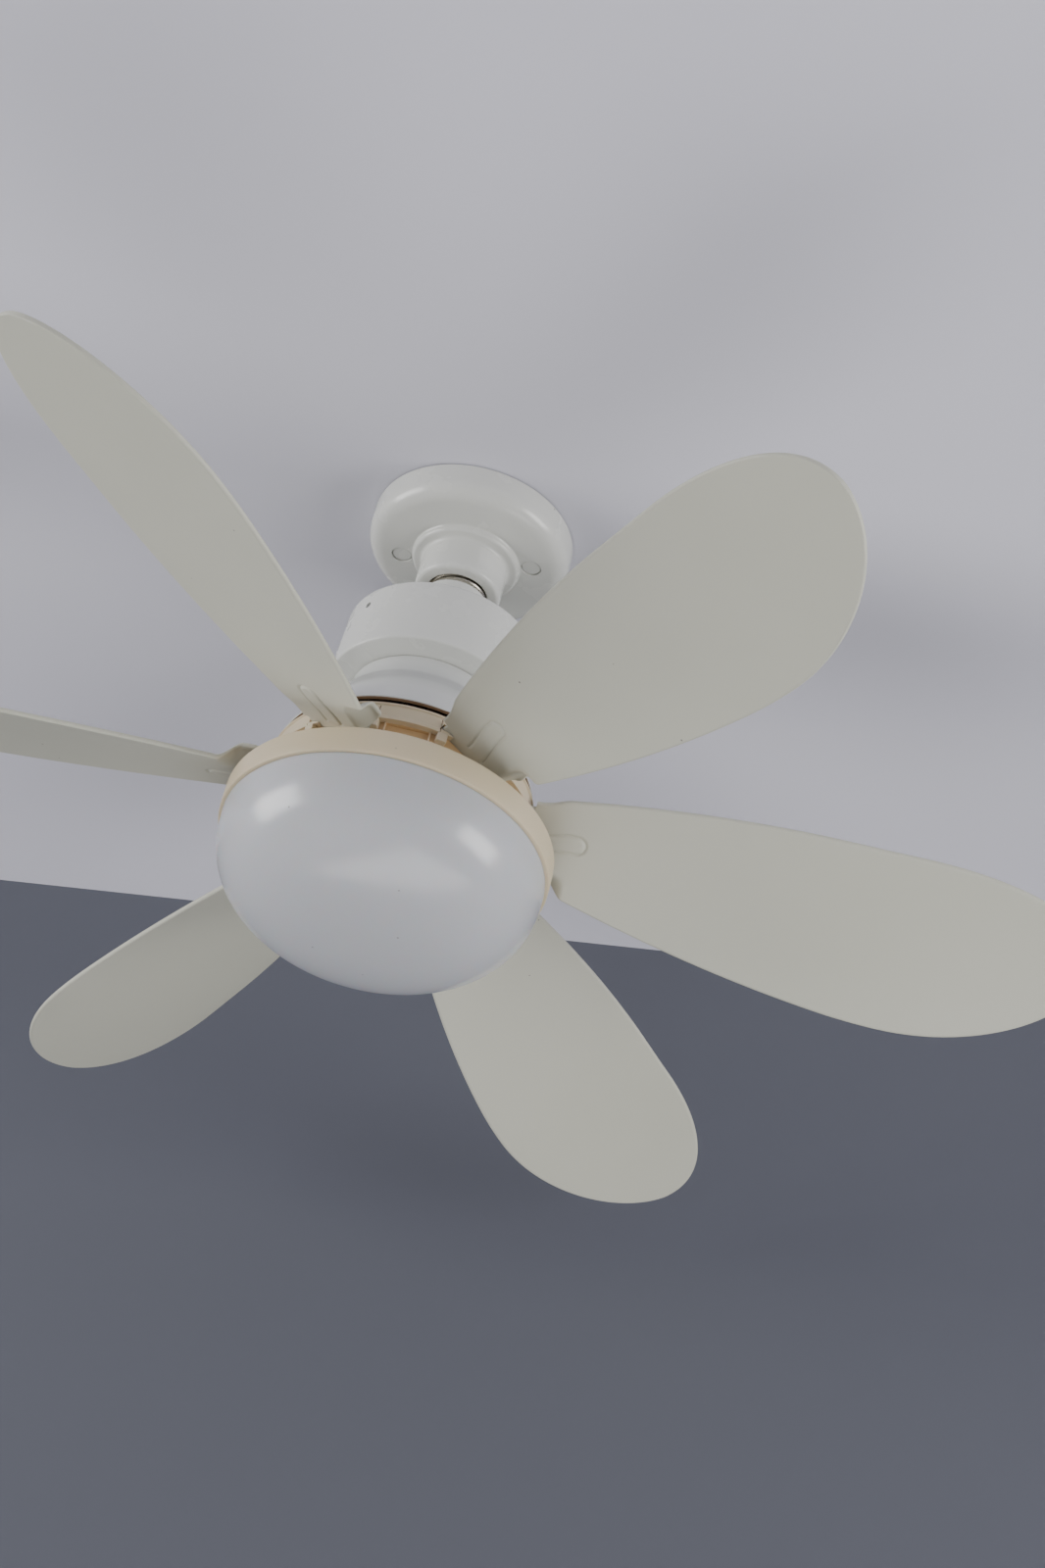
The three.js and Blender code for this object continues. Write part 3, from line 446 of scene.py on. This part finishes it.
SOCKET_MEAN_R = 13.15
CAP_MEAN_R = 12.6
CAP_BORE_R = 11.3
CAP_COLLAR_H = 3
socket_back, socket_low, socket_top = span("socket_shell")
socket = threaded("socket_thread", SOCKET_MEAN_R, socket_back, socket_low, socket_top, 0)
placed(socket, "lampholder", "nickel", nickel, "socket_shell")
_, cap_low, cap_top = span("cap_shell")
cap = threaded("cap_thread", CAP_MEAN_R, CAP_BORE_R, cap_low, cap_top, CAP_COLLAR_H)
placed(cap, "fan_body", "nickel", nickel, "cap_shell")

# ---- Pedestal ----
# The driver housing's lid is a white moulding. Its hollow pedestal carries the screw cap, and
# its skirt fits inside the drum, where three small screws hold it from the side.
lid_r, lid_low, lid_high = span("pedestal_lid")
_, drum_low, drum_top = span("drum_shell")
HEAD_R = 14.5
FOOT_R = 21
LID_WALL = 2.3
SPIGOT_R = 11
shoulder_z = cap_low - 0.3
lid = turned(
    "pedestal",
    [
        (lid_r - LID_WALL, lid_low), (lid_r, lid_low), (lid_r, drum_top - 0.05),
        (FOOT_R + 3.5, drum_top), (FOOT_R + 1.6, drum_top + 0.5), (FOOT_R + 0.4, drum_top + 1.8),
        (FOOT_R - 0.1, drum_top + 3.2), (HEAD_R + 3.1, drum_top + 13),
        (HEAD_R + 0.6, drum_top + 20.5),
        (HEAD_R, shoulder_z - 2.2), (HEAD_R, shoulder_z), (SPIGOT_R, shoulder_z),
        (SPIGOT_R, lid_high), (SPIGOT_R - LID_WALL, lid_high),
        (SPIGOT_R - LID_WALL, shoulder_z - 2.5),
        (FOOT_R - LID_WALL, drum_top + 0.7), (FOOT_R - LID_WALL, drum_top - LID_WALL),
        (lid_r - LID_WALL, drum_top - LID_WALL),
    ],
)
LID_SCREW_TURN = 94  # degrees
LID_SCREW_DROP = 8.8
lid_screw_z = drum_top - LID_SCREW_DROP
screw_turns = [LID_SCREW_TURN + 120 * third for third in range(3)]
cut(lid, [
    drill(1.55, polar(30, turn_at, lid_screw_z), polar(1, turn_at, 0), 16)
    for turn_at in screw_turns
])
placed(lid, "fan_body", "white_plastic", white_plastic, "pedestal_lid")

# ---- Driver drum ----
# The drum round the driver is a white moulding with a slight draft, a round upper edge, a
# rolled lower edge and a dished underside that meets the motor's bell.
drum_r = span("drum_shell")[0]
bell_r, bell_low, bell_top = span("motor_cover")
DRUM_TOP_R = 42
BORE_R = 39.2
BELL_TOP_R = 33
SHAFT_BORE_R = 5.3
FLOOR_H = 2.9
rim_z = drum_low + 1.4
drum = turned(
    "driver_drum",
    [
        (SHAFT_BORE_R, drum_low), (BELL_TOP_R + 1.4, drum_low), (BELL_TOP_R + 2.2, drum_low + 0.25),
        (drum_r - 2.6, rim_z - 0.75), (drum_r - 1.0, rim_z - 0.35),
        *arc(drum_r - 1.1, rim_z + 0.75, 1.1, -80, 0, 5),
        (drum_r - 0.12, rim_z + 3.4), (DRUM_TOP_R + 0.5, drum_top - 14),
        *arc(DRUM_TOP_R - 2.0, drum_top - 2.0, 2.0, 0, 84, 7),
        (BORE_R + 0.1, drum_top - 0.5), (BORE_R, drum_top - 0.9),
        (BORE_R, drum_low + FLOOR_H), (SHAFT_BORE_R, drum_low + FLOOR_H),
    ],
    edge=0.2, angle=30,
)
cut(drum, [
    drill(1.5, polar(36, turn_at, lid_screw_z), polar(1, turn_at, 0), 12) for turn_at in screw_turns
])
placed(drum, "fan_body", "white_plastic", white_plastic, "drum_shell")

# ---- Motor bell ----
# A glossy white bell covers the motor: a short concave neck under the drum, a fine step and
# a cone that ends just above the spinning hub.
BELL_STEP_R = 37.7
BELL_WALL = 2.3
BELL_NECK_H = 12.1
step_z = bell_top - BELL_NECK_H
bell_plastic = finish(
    "bell_plastic", (0.62, 0.63, 0.62), (0.66, 0.67, 0.65), 0.2, uneven=0.04, cloud=9, grain=700,
    depth=0.008, wear_and_edge_highlight=(0.8, 0.8, 0.78), Coat_Weight=0.35, Coat_Roughness=0.12,
)
bell = turned(
    "motor_bell",
    [
        (SHAFT_BORE_R, bell_top), (BELL_TOP_R, bell_top), (BELL_TOP_R - 0.05, bell_top - 2.4),
        (BELL_TOP_R + 0.35, bell_top - 5), (BELL_TOP_R + 1.4, bell_top - 8),
        (BELL_STEP_R - 1.5, step_z + 1.3), (BELL_STEP_R - 0.35, step_z + 0.35),
        (BELL_STEP_R - 0.1, step_z - 0.15), (BELL_STEP_R + 0.45, step_z - 0.45),
        (bell_r - 7.4, bell_low + 13), (bell_r - 2.7, bell_low + 5), (bell_r - 0.5, bell_low + 1.2),
        (bell_r, bell_low + 0.5), (bell_r - 0.4, bell_low), (bell_r - BELL_WALL, bell_low),
        (BELL_STEP_R - BELL_WALL, step_z - 1), (BELL_TOP_R - BELL_WALL, bell_top - 2.5),
        (SHAFT_BORE_R, bell_top - 2.5),
    ],
    edge=0.15,
)
placed(bell, "fan_body", "white_plastic", bell_plastic, "motor_cover")
# The bell's inner side and the underside of its rim take a dark warm brown: painted shade, warmed
# like light thrown back from the cream hub, for the dark gap above the hub.
bell_painted_shade = finish(
    "bell_painted_shade", (0.30, 0.19, 0.11), (0.36, 0.24, 0.15), 0.5, cloud=25, grain=900, depth=0.015,
)
bell.data.materials.append(bell_painted_shade)
for face in bell.data.polygons:
    outward = face.normal.x * face.center.x + face.normal.y * face.center.y
    at_rim = face.center.z < (bell_low + 0.05) * MM and face.normal.z < -0.9
    if outward < 0 or at_rim:
        face.material_index = 1

# ---- Rotor hub ----
# The spinning hub is a cream nylon moulding. A plain band runs round its top, and under the
# band's lip are a slot for each blade's tab and a shallow window with two small feet.
cream_plastic = finish(
    "cream_plastic", (0.61, 0.515, 0.355), (0.65, 0.555, 0.39), 0.42, cloud=13, grain=1000,
    depth=0.02, specks=(0.50, 0.42, 0.30), wear_and_edge_highlight=(0.80, 0.74, 0.62), Subsurface_Weight=0.08,
    Subsurface_Scale=0.002,
)
# A darker orange copy of the cream nylon: painted shade and warm reflected light for the hub's
# recess and the ribs' inner faces.
recess_painted_shade = finish(
    "recess_painted_shade", (0.56, 0.37, 0.18), (0.64, 0.44, 0.23), 0.5, cloud=30, grain=1000, depth=0.02,
    wear_and_edge_highlight=(0.74, 0.60, 0.42),
)
SLIT_ANGLE = 13.4  # degrees either side of a window's middle
BLADE_COUNT = 6
BLADE_STEP = 360 / BLADE_COUNT
BLADE_PHASE = -4.6  # degrees
BLADE_PITCH = 23.7  # degrees
TAB_HALF = 16.3
BLADE_T = 2.2
hub_r, hub_low, hub_top = span("rotor_hub")
BAND_H = 7.6
HUB_WALL = 2.6
BOSS_R = 12.5
RECESS_R = 53.4
band_z = hub_top - BAND_H
blade_z = (hub_top + hub_low) / 2 - 0.95
hub = turned(
    "hub",
    [
        (7.5, hub_top - 8.3), (BOSS_R, hub_top - 8.3), (BOSS_R, hub_top - HUB_WALL),
        (RECESS_R - HUB_WALL, hub_top - HUB_WALL), (RECESS_R - HUB_WALL, hub_low),
        (hub_r - 0.6, hub_low), (hub_r - 0.6, hub_low + 1.5), (RECESS_R, hub_low + 1.5),
        (RECESS_R, band_z - 1.3),
        (hub_r, band_z - 1.3), (hub_r, band_z + 0.1), (hub_r - 0.7, band_z + 0.7),
        (hub_r - 0.9, hub_top - 1.6), (hub_r - 0.2, hub_top - 1.2), (hub_r - 0.2, hub_top - 0.6),
        (hub_r - 0.9, hub_top), (9.8, hub_top), (9.8, hub_top - 6.3), (7.5, hub_top - 6.3),
    ],
    sides=144, edge=0.2,
)


def block(low, high, tilt=0, turn_at=0, z=0):
    """A box of millimetres, tilted about its own length, then turned about the shaft."""
    bpy.ops.object.select_all(action="DESELECT")
    bpy.ops.mesh.primitive_cube_add(size=1)
    made = bpy.context.object
    size = [(b - a) * MM for a, b in zip(low, high)]
    middle = Vector([(a + b) / 2 * MM for a, b in zip(low, high)])
    shape = Matrix.Translation(middle) @ Matrix.Diagonal((*size, 1))
    lean = Matrix.Rotation(math.radians(-tilt), 4, "X")
    round_shaft = Matrix.Rotation(math.radians(turn_at), 4, "Z")
    made.data.transform(Matrix.Translation((0, 0, z * MM)) @ round_shaft @ lean @ shape)
    return made


def joined(name, pieces, edge, angle=35):
    """Joins pieces into one, with softened corners."""
    bpy.ops.object.select_all(action="DESELECT")
    for piece in pieces:
        piece.select_set(True)
    bpy.context.view_layer.objects.active = pieces[0]
    if len(pieces) > 1:
        bpy.ops.object.join()
    whole = bpy.context.object
    bpy.ops.object.mode_set(mode="EDIT")
    finished(whole, name, angle)
    if edge:
        rounded(whole, edge, angle)
    return whole


SLOT_HALF = TAB_HALF + 0.6
SLOT_HALF_H = BLADE_T / 2 + 0.3
WINDOW_HALF = 9
WINDOW_DEPTH = 1.5
SLIT_HALF = 0.22
tools = []
for blade_number in range(BLADE_COUNT):
    azimuth = BLADE_PHASE + BLADE_STEP * blade_number
    between_blades = azimuth + BLADE_STEP / 2
    tools.append(block(
        (38, -SLOT_HALF, -SLOT_HALF_H), (70, SLOT_HALF, SLOT_HALF_H), BLADE_PITCH, azimuth, blade_z
    ))
    tools.append(block(
        (RECESS_R - WINDOW_DEPTH, -WINDOW_HALF, hub_low + 2.6),
        (RECESS_R + 4, WINDOW_HALF, band_z - 1.6), 0, between_blades,
    ))
    for side in (-1, 1):
        tools.append(block(
            (hub_r - 1.7, -SLIT_HALF, band_z - 2), (hub_r + 2, SLIT_HALF, hub_top - 1.9),
            0, between_blades + side * SLIT_ANGLE,
        ))
cut(hub, tools)
placed(hub, "rotor", "cream_plastic", cream_plastic, "rotor_hub")
# Faces in the recess under the band take the darker copy: painted shade.
hub.data.materials.append(recess_painted_shade)
for face in hub.data.polygons:
    in_recess = math.hypot(face.center.x, face.center.y) < (RECESS_R + 0.3) * MM
    if in_recess and face.center.z < (band_z - 1) * MM:
        face.material_index = 1

RIB_ANGLE = 9.9  # degrees either side of a window's middle
FOOT_ANGLE = 14.8
RIB_HALF = 0.4
FOOT_HALF = 2.2
FOOT_H = 4
ribs = []
for blade_number in range(BLADE_COUNT):
    between_blades = BLADE_PHASE + BLADE_STEP * blade_number + BLADE_STEP / 2
    for side in (-1, 1):
        ribs.append(block(
            (RECESS_R - 0.5, -RIB_HALF, hub_low + 1), (hub_r - 2.2, RIB_HALF, band_z - 1.2),
            0, between_blades + side * RIB_ANGLE,
        ))
        ribs.append(block(
            (RECESS_R - 0.5, -FOOT_HALF, band_z - 1.2 - FOOT_H),
            (hub_r + 0.1, FOOT_HALF, band_z - 1.2),
            0, between_blades + side * FOOT_ANGLE,
        ))
hub_ribs = joined("hub_ribs", ribs, 0.4)
placed(hub_ribs, "rotor", "cream_plastic", cream_plastic)
# The ribs' faces inside the band's edge take the darker copy too: painted shade.
hub_ribs.data.materials.append(recess_painted_shade)
for face in hub_ribs.data.polygons:
    if math.hypot(face.center.x, face.center.y) < (hub_r - 2.1) * MM:
        face.material_index = 1

# ---- Rotor cover ----
# A flat cream disc closes the hub from below. Three screws hold it, and a raised boss in its
# middle carries the lower bearing.
cover_r, cover_low, cover_top = span("rotor_cover")
cover_skin = cover_low + 1.8
cover = turned(
    "hub_cover",
    [
        (7.5, cover_low), (cover_r - 9, cover_low), (cover_r - 8.4, cover_low + 0.3),
        (cover_r - 0.9, cover_low + 0.3), (cover_r, cover_low + 1), (cover_r, cover_skin),
        (BOSS_R, cover_skin), (BOSS_R, cover_top), (9.8, cover_top), (9.8, cover_skin - 0.1),
        (7.5, cover_skin - 0.1),
    ],
    edge=0.2,
)
HUB_SCREW_RING_R = 47
cut(cover, [
    drill(1.5, polar(HUB_SCREW_RING_R, BLADE_PHASE + 30 + 120 * third, cover_low - 1), (0, 0, 1), 5)
    for third in range(3)
])
placed(cover, "rotor", "cream_plastic", cream_plastic, "rotor_cover")

# ---- Blades ----
# Six alike blades of matt off-white ABS push into the hub. Each is a thin dished paddle with a
# soft edge, a moulded tongue near its root and a corner that curls up beside the hub.
TIP_R = 294.5
TIP_LENGTH = 77.3
WIDEST_R = TIP_R - TIP_LENGTH
BLADE_HALF = 42.7
SHOULDER_R = 63.5
SHOULDER_HALF = 21.5
ROOT_R = 57.1  # where the tab ends, just outside the hub
BLADE_LEAN = 0.0294  # how far the blade's middle moves back for each millimetre out
TIP_SWEEP = 12.6
TIP_SAG = 11.7
CAMBER = 6
CURL = 8.4  # how high the root's lower corner curls
TONGUE_END_R = 76.5
TONGUE_HALF = 4.2
GROOVE_DEPTH = 0.6
blade_plastic = finish(
    "blade_plastic", (0.555, 0.555, 0.466), (0.59, 0.586, 0.50), 0.46, uneven=0.05, cloud=7,
    grain=1100, depth=0.025, specks=(0.22, 0.21, 0.18), wear_and_edge_highlight=(0.72, 0.72, 0.68),
    Specular_IOR_Level=0.4,
)


def eased(share):
    share = min(1, max(0, share))
    return share * share * (3 - 2 * share)


def blade_half(r):
    if r < WIDEST_R:
        back = (WIDEST_R - max(r, SHOULDER_R)) / (WIDEST_R - SHOULDER_R)
        return BLADE_HALF - (BLADE_HALF - SHOULDER_HALF) * back**1.9
    return BLADE_HALF * math.sqrt(max(0, 1 - ((r - WIDEST_R) / TIP_LENGTH) ** 2))


def blade_edges(r):
    """Where the higher and the lower edge lie across the blade at a radius."""
    if r < ROOT_R:
        return -TAB_HALF, TAB_HALF
    start = WIDEST_R - 28
    sweep = TIP_SWEEP * max(0, (r - start) / (TIP_R - start)) ** 2
    middle = BLADE_LEAN * (max(r, SHOULDER_R) - SHOULDER_R) - sweep
    half = blade_half(r)
    higher = -19 + (middle - half + 19) * eased((r - ROOT_R) / 14)
    corner = 17.5 + 6.8 * math.sqrt(1 - (1 - min(1, (r - ROOT_R) / 4.2)) ** 2)
    lower = corner + (middle + half - corner) * eased((r - 62) / 14)
    return higher, lower


def root_lift(r, y):
    """How far the lower corner of the root curls straight up, beside the hub's band."""
    if r < ROOT_R:
        return 0
    return CURL * eased((75.5 - r) / 9.5) * eased((y - 12) / 11.5)


def tongue_depth(r, y):
    """How far the tongue's groove goes in, and its middle stands out, at a point of the blade."""
    if r < 58 or r > 85:
        return 0
    middle_y = -3.2 + 3.4 * eased((76 - r) / 18)
    away = math.hypot(max(0, r - TONGUE_END_R), y - middle_y) - TONGUE_HALF
    return GROOVE_DEPTH * math.exp(-((away / 0.5) ** 2)) - 0.25 * eased(-away / 1.4)


radii = [44.3, 50, 55, 56.9] + [57.2 + 0.55 * i for i in range(48)]
radii += [radii[-1] + (WIDEST_R - radii[-1]) * i / 34 for i in range(1, 35)]
radii += [WIDEST_R + TIP_LENGTH * math.sin(math.radians(90 * i / 30)) for i in range(1, 31)]
nose = [-1, -0.9975, -0.991, -0.98, -0.966, -0.95]
shares = nose + [-0.95 + 1.9 * i / 84 for i in range(1, 84)] + [-share for share in reversed(nose)]
loop = [(share, 1) for share in shares] + [(share, -1) for share in reversed(shares)]
bpy.ops.object.select_all(action="DESELECT")
bpy.ops.mesh.primitive_grid_add(
    x_subdivisions=len(radii) - 1, y_subdivisions=len(loop) - 1, size=2
)
first_blade = bpy.context.object
for vertex in first_blade.data.vertices:
    r = radii[round((vertex.co.x + 1) / 2 * (len(radii) - 1))]
    share, side = loop[round((vertex.co.y + 1) / 2 * (len(loop) - 1))]
    higher, lower = blade_edges(r)
    half = (lower - higher) / 2
    y = (lower + higher) / 2 + half * share
    inward = max(0, min(1, half * (1 - abs(share)) / max(0.01, min(1.15, half * 0.8))))
    thick = BLADE_T / 2 * math.sqrt(1 - (1 - inward) ** 2)
    along = max(0, (r - SHOULDER_R) / (TIP_R - SHOULDER_R))
    z = -TIP_SAG * along**1.15 - CAMBER * along * (1 - along) * share**2 + side * thick
    if side < 0:
        z += tongue_depth(r, y)
    lift = root_lift(r, y)
    y -= lift * math.sin(math.radians(BLADE_PITCH))
    z += lift * math.cos(math.radians(BLADE_PITCH))
    vertex.co = Vector((r, y, z)) * MM
bpy.ops.object.mode_set(mode="EDIT")
bpy.ops.mesh.select_all(action="SELECT")
bpy.ops.mesh.remove_doubles(threshold=0.000005)
bpy.ops.mesh.select_all(action="DESELECT")
bpy.ops.mesh.select_non_manifold()
bpy.ops.mesh.edge_face_add()
finished(first_blade, "blade", 40)
pitched = Matrix.Rotation(math.radians(-BLADE_PITCH), 4, "X")
first_blade.data.transform(Matrix.Translation((0, 0, blade_z * MM)) @ pitched)
for blade_number in range(1, BLADE_COUNT + 1):
    blade = first_blade.copy()
    blade.data = first_blade.data.copy()
    blade.name = f"paddle_{blade_number}"
    bpy.context.scene.collection.objects.link(blade)
    azimuth = math.radians(BLADE_PHASE + BLADE_STEP * (blade_number - 1))
    blade.data.transform(Matrix.Rotation(azimuth, 4, "Z"))
    body = f"blade_{blade_number}_body"
    placed(blade, body, "blade_plastic", blade_plastic, f"blade_{blade_number}")
bpy.data.objects.remove(first_blade)

# ---- Light ring ----
# A cream ring, fixed to the end of the shaft, carries the light. Its side is plain, its upper
# edge is soft, and its lower edge has a thin step that the bowl pushes into.
lamp_r, _, lamp_top = span("lamp_ring")
RING_H = 12
lamp_low = lamp_top - RING_H
RING_WALL = 2.4
ring = turned(
    "light_ring",
    [
        (SHAFT_BORE_R, lamp_top - 2), (lamp_r - RING_WALL, lamp_top - 2),
        (lamp_r - RING_WALL, lamp_low), (lamp_r - 0.7, lamp_low),
        (lamp_r - 0.25, lamp_low + 0.25), (lamp_r - 0.1, lamp_low + 0.7),
        (lamp_r, lamp_low + 4), *arc(lamp_r - 1.1, lamp_top - 1.1, 1.1, 0, 90, 5),
        (SHAFT_BORE_R, lamp_top),
    ],
    sides=192, edge=0.15,
)
LED_SCREW_R = 50
ring_bosses = [
    turned("boss", [
        (1.5, lamp_top - 8), (3.6, lamp_top - 8), (3.9, lamp_top - 2.1), (1.5, lamp_top - 2.1),
    ], sides=32, edge=0.2)
    for _ in range(3)
]
for third, boss in enumerate(ring_bosses):
    boss.data.transform(Matrix.Translation(polar(LED_SCREW_R, 90 + 120 * third, 0) * MM))
ring_bosses = joined("light_ring_bosses", ring_bosses, 0)
placed(ring_bosses, "fan_body", "cream_plastic", cream_plastic)
placed(ring, "fan_body", "cream_plastic", cream_plastic, "lamp_ring")

# ---- Bowl ----
# The diffuser is a shallow opal acrylic bowl with a polished outside. Its rim has a thin white
# shoulder and an upright collar that snaps inside the light ring.
opal = finish(
    "opal_acrylic", (0.515, 0.525, 0.555), (0.54, 0.55, 0.58), 0.24, uneven=0.03, cloud=6,
    grain=160, depth=0.006, specks=(0.30, 0.30, 0.30), Subsurface_Weight=0.25,
    Subsurface_Scale=0.006,
    Coat_Weight=0.35, Coat_Roughness=0.2,
)
BOWL_R = 68.3
BOWL_DEPTH = 42
BOWL_WALL = 2.2
BOWL_POWER = 2.3
_, bowl_low, bowl_high = span("diffuser")
widest_z = bowl_low + BOWL_DEPTH
collar_r = lamp_r - RING_WALL - 0.6


def bowl_curve(radius, depth, steps=26):
    turns = [math.radians(90 * i / steps) for i in range(1, steps + 1)]
    power = 2 / BOWL_POWER
    return [
        (radius * math.sin(a) ** power, widest_z - depth * math.cos(a) ** power) for a in turns
    ]


bowl = turned(
    "bowl",
    [
        (0, bowl_low),
        *bowl_curve(BOWL_R, BOWL_DEPTH),
        (BOWL_R + 0.1, widest_z + 1.4), (BOWL_R + 0.15, lamp_low - 0.5),
        (BOWL_R - 0.1, lamp_low - 0.08), (collar_r, lamp_low - 0.08), (collar_r, bowl_high),
        (collar_r - BOWL_WALL, bowl_high),
        *reversed(bowl_curve(BOWL_R - BOWL_WALL - 1.2, BOWL_DEPTH - BOWL_WALL)),
        (0, bowl_low + BOWL_WALL),
    ],
    sides=192, edge=0, angle=50,
)
placed(bowl, "bowl", "opal_plastic", opal, "diffuser")

# ---- Metal and board pieces ----
# Screws, shaft, nuts, bearings, motor and boards keep their machined shapes, and take the
# finishes of plated steel, brass, enamelled copper, laminations, ceramic and board.
steel = finish(
    "zinc_steel", (0.42, 0.43, 0.45), (0.34, 0.345, 0.36), 0.36, uneven=0.1, cloud=80, grain=800,
    depth=0.01, wear_and_edge_highlight=(0.6, 0.6, 0.62), Metallic=1.0,
)
brass = finish(
    "brass", (0.62, 0.46, 0.20), (0.50, 0.36, 0.15), 0.34, uneven=0.1, cloud=90, grain=900,
    depth=0.01, wear_and_edge_highlight=(0.8, 0.66, 0.36), Metallic=1.0,
)
laminations = finish(
    "laminations", (0.16, 0.17, 0.19), (0.10, 0.105, 0.12), 0.5, cloud=40, grain=700, depth=0.05,
    brushed=(0.2, 0.2, 6), Metallic=0.9,
)
copper = finish(
    "enamelled_copper", (0.48, 0.17, 0.06), (0.36, 0.11, 0.035), 0.32, cloud=120, grain=500,
    depth=0.08, brushed=(0.3, 0.3, 3), Metallic=0.8, Coat_Weight=0.5,
)
magnet = finish(
    "sintered_magnet", (0.045, 0.045, 0.05), (0.03, 0.03, 0.034), 0.6, cloud=60, grain=1200,
    depth=0.03, Metallic=0.2,
)
board = finish(
    "circuit_board", (0.03, 0.15, 0.06), (0.045, 0.20, 0.085), 0.45, cloud=260, grain=600,
    depth=0.03, brushed=(1, 0.25, 1), Coat_Weight=0.3,
)
aluminium = finish(
    "aluminium", (0.58, 0.59, 0.60), (0.50, 0.51, 0.52), 0.42, cloud=50, grain=900, depth=0.012,
    brushed=(0.15, 2, 1), Metallic=1.0,
)
board_white = finish(
    "solder_mask", (0.78, 0.78, 0.76), (0.72, 0.72, 0.70), 0.4, cloud=70, grain=900, depth=0.01,
    specks=(0.5, 0.48, 0.4),
)
ceramic = finish(
    "glazed_ceramic", (0.70, 0.67, 0.60), (0.62, 0.59, 0.52), 0.3, cloud=50, grain=500, depth=0.03,
    Coat_Weight=0.4,
)
phenolic = finish(
    "phenolic", (0.022, 0.020, 0.020), (0.035, 0.032, 0.030), 0.42, cloud=60, grain=900, depth=0.02,
    wear_and_edge_highlight=(0.08, 0.075, 0.07),
)
SLOT_FINISH = {
    "white_plastic": white_plastic, "blade_plastic": blade_plastic, "cream_plastic": cream_plastic,
    "opal_plastic": opal, "ceramic": ceramic, "phenolic": phenolic, "nickel": nickel,
    "brass": brass, "steel": steel, "laminated_steel": laminations, "enamelled_copper": copper,
    "magnet": magnet,
    "circuit_board": board, "aluminium": aluminium, "led_board_white": board_white,
}
for part in frame["record"]["subparts"]:
    node = frame["nodes"][part["node"]]
    node.data.materials.clear()
    node.data.materials.append(SLOT_FINISH[part["material_slot"]])
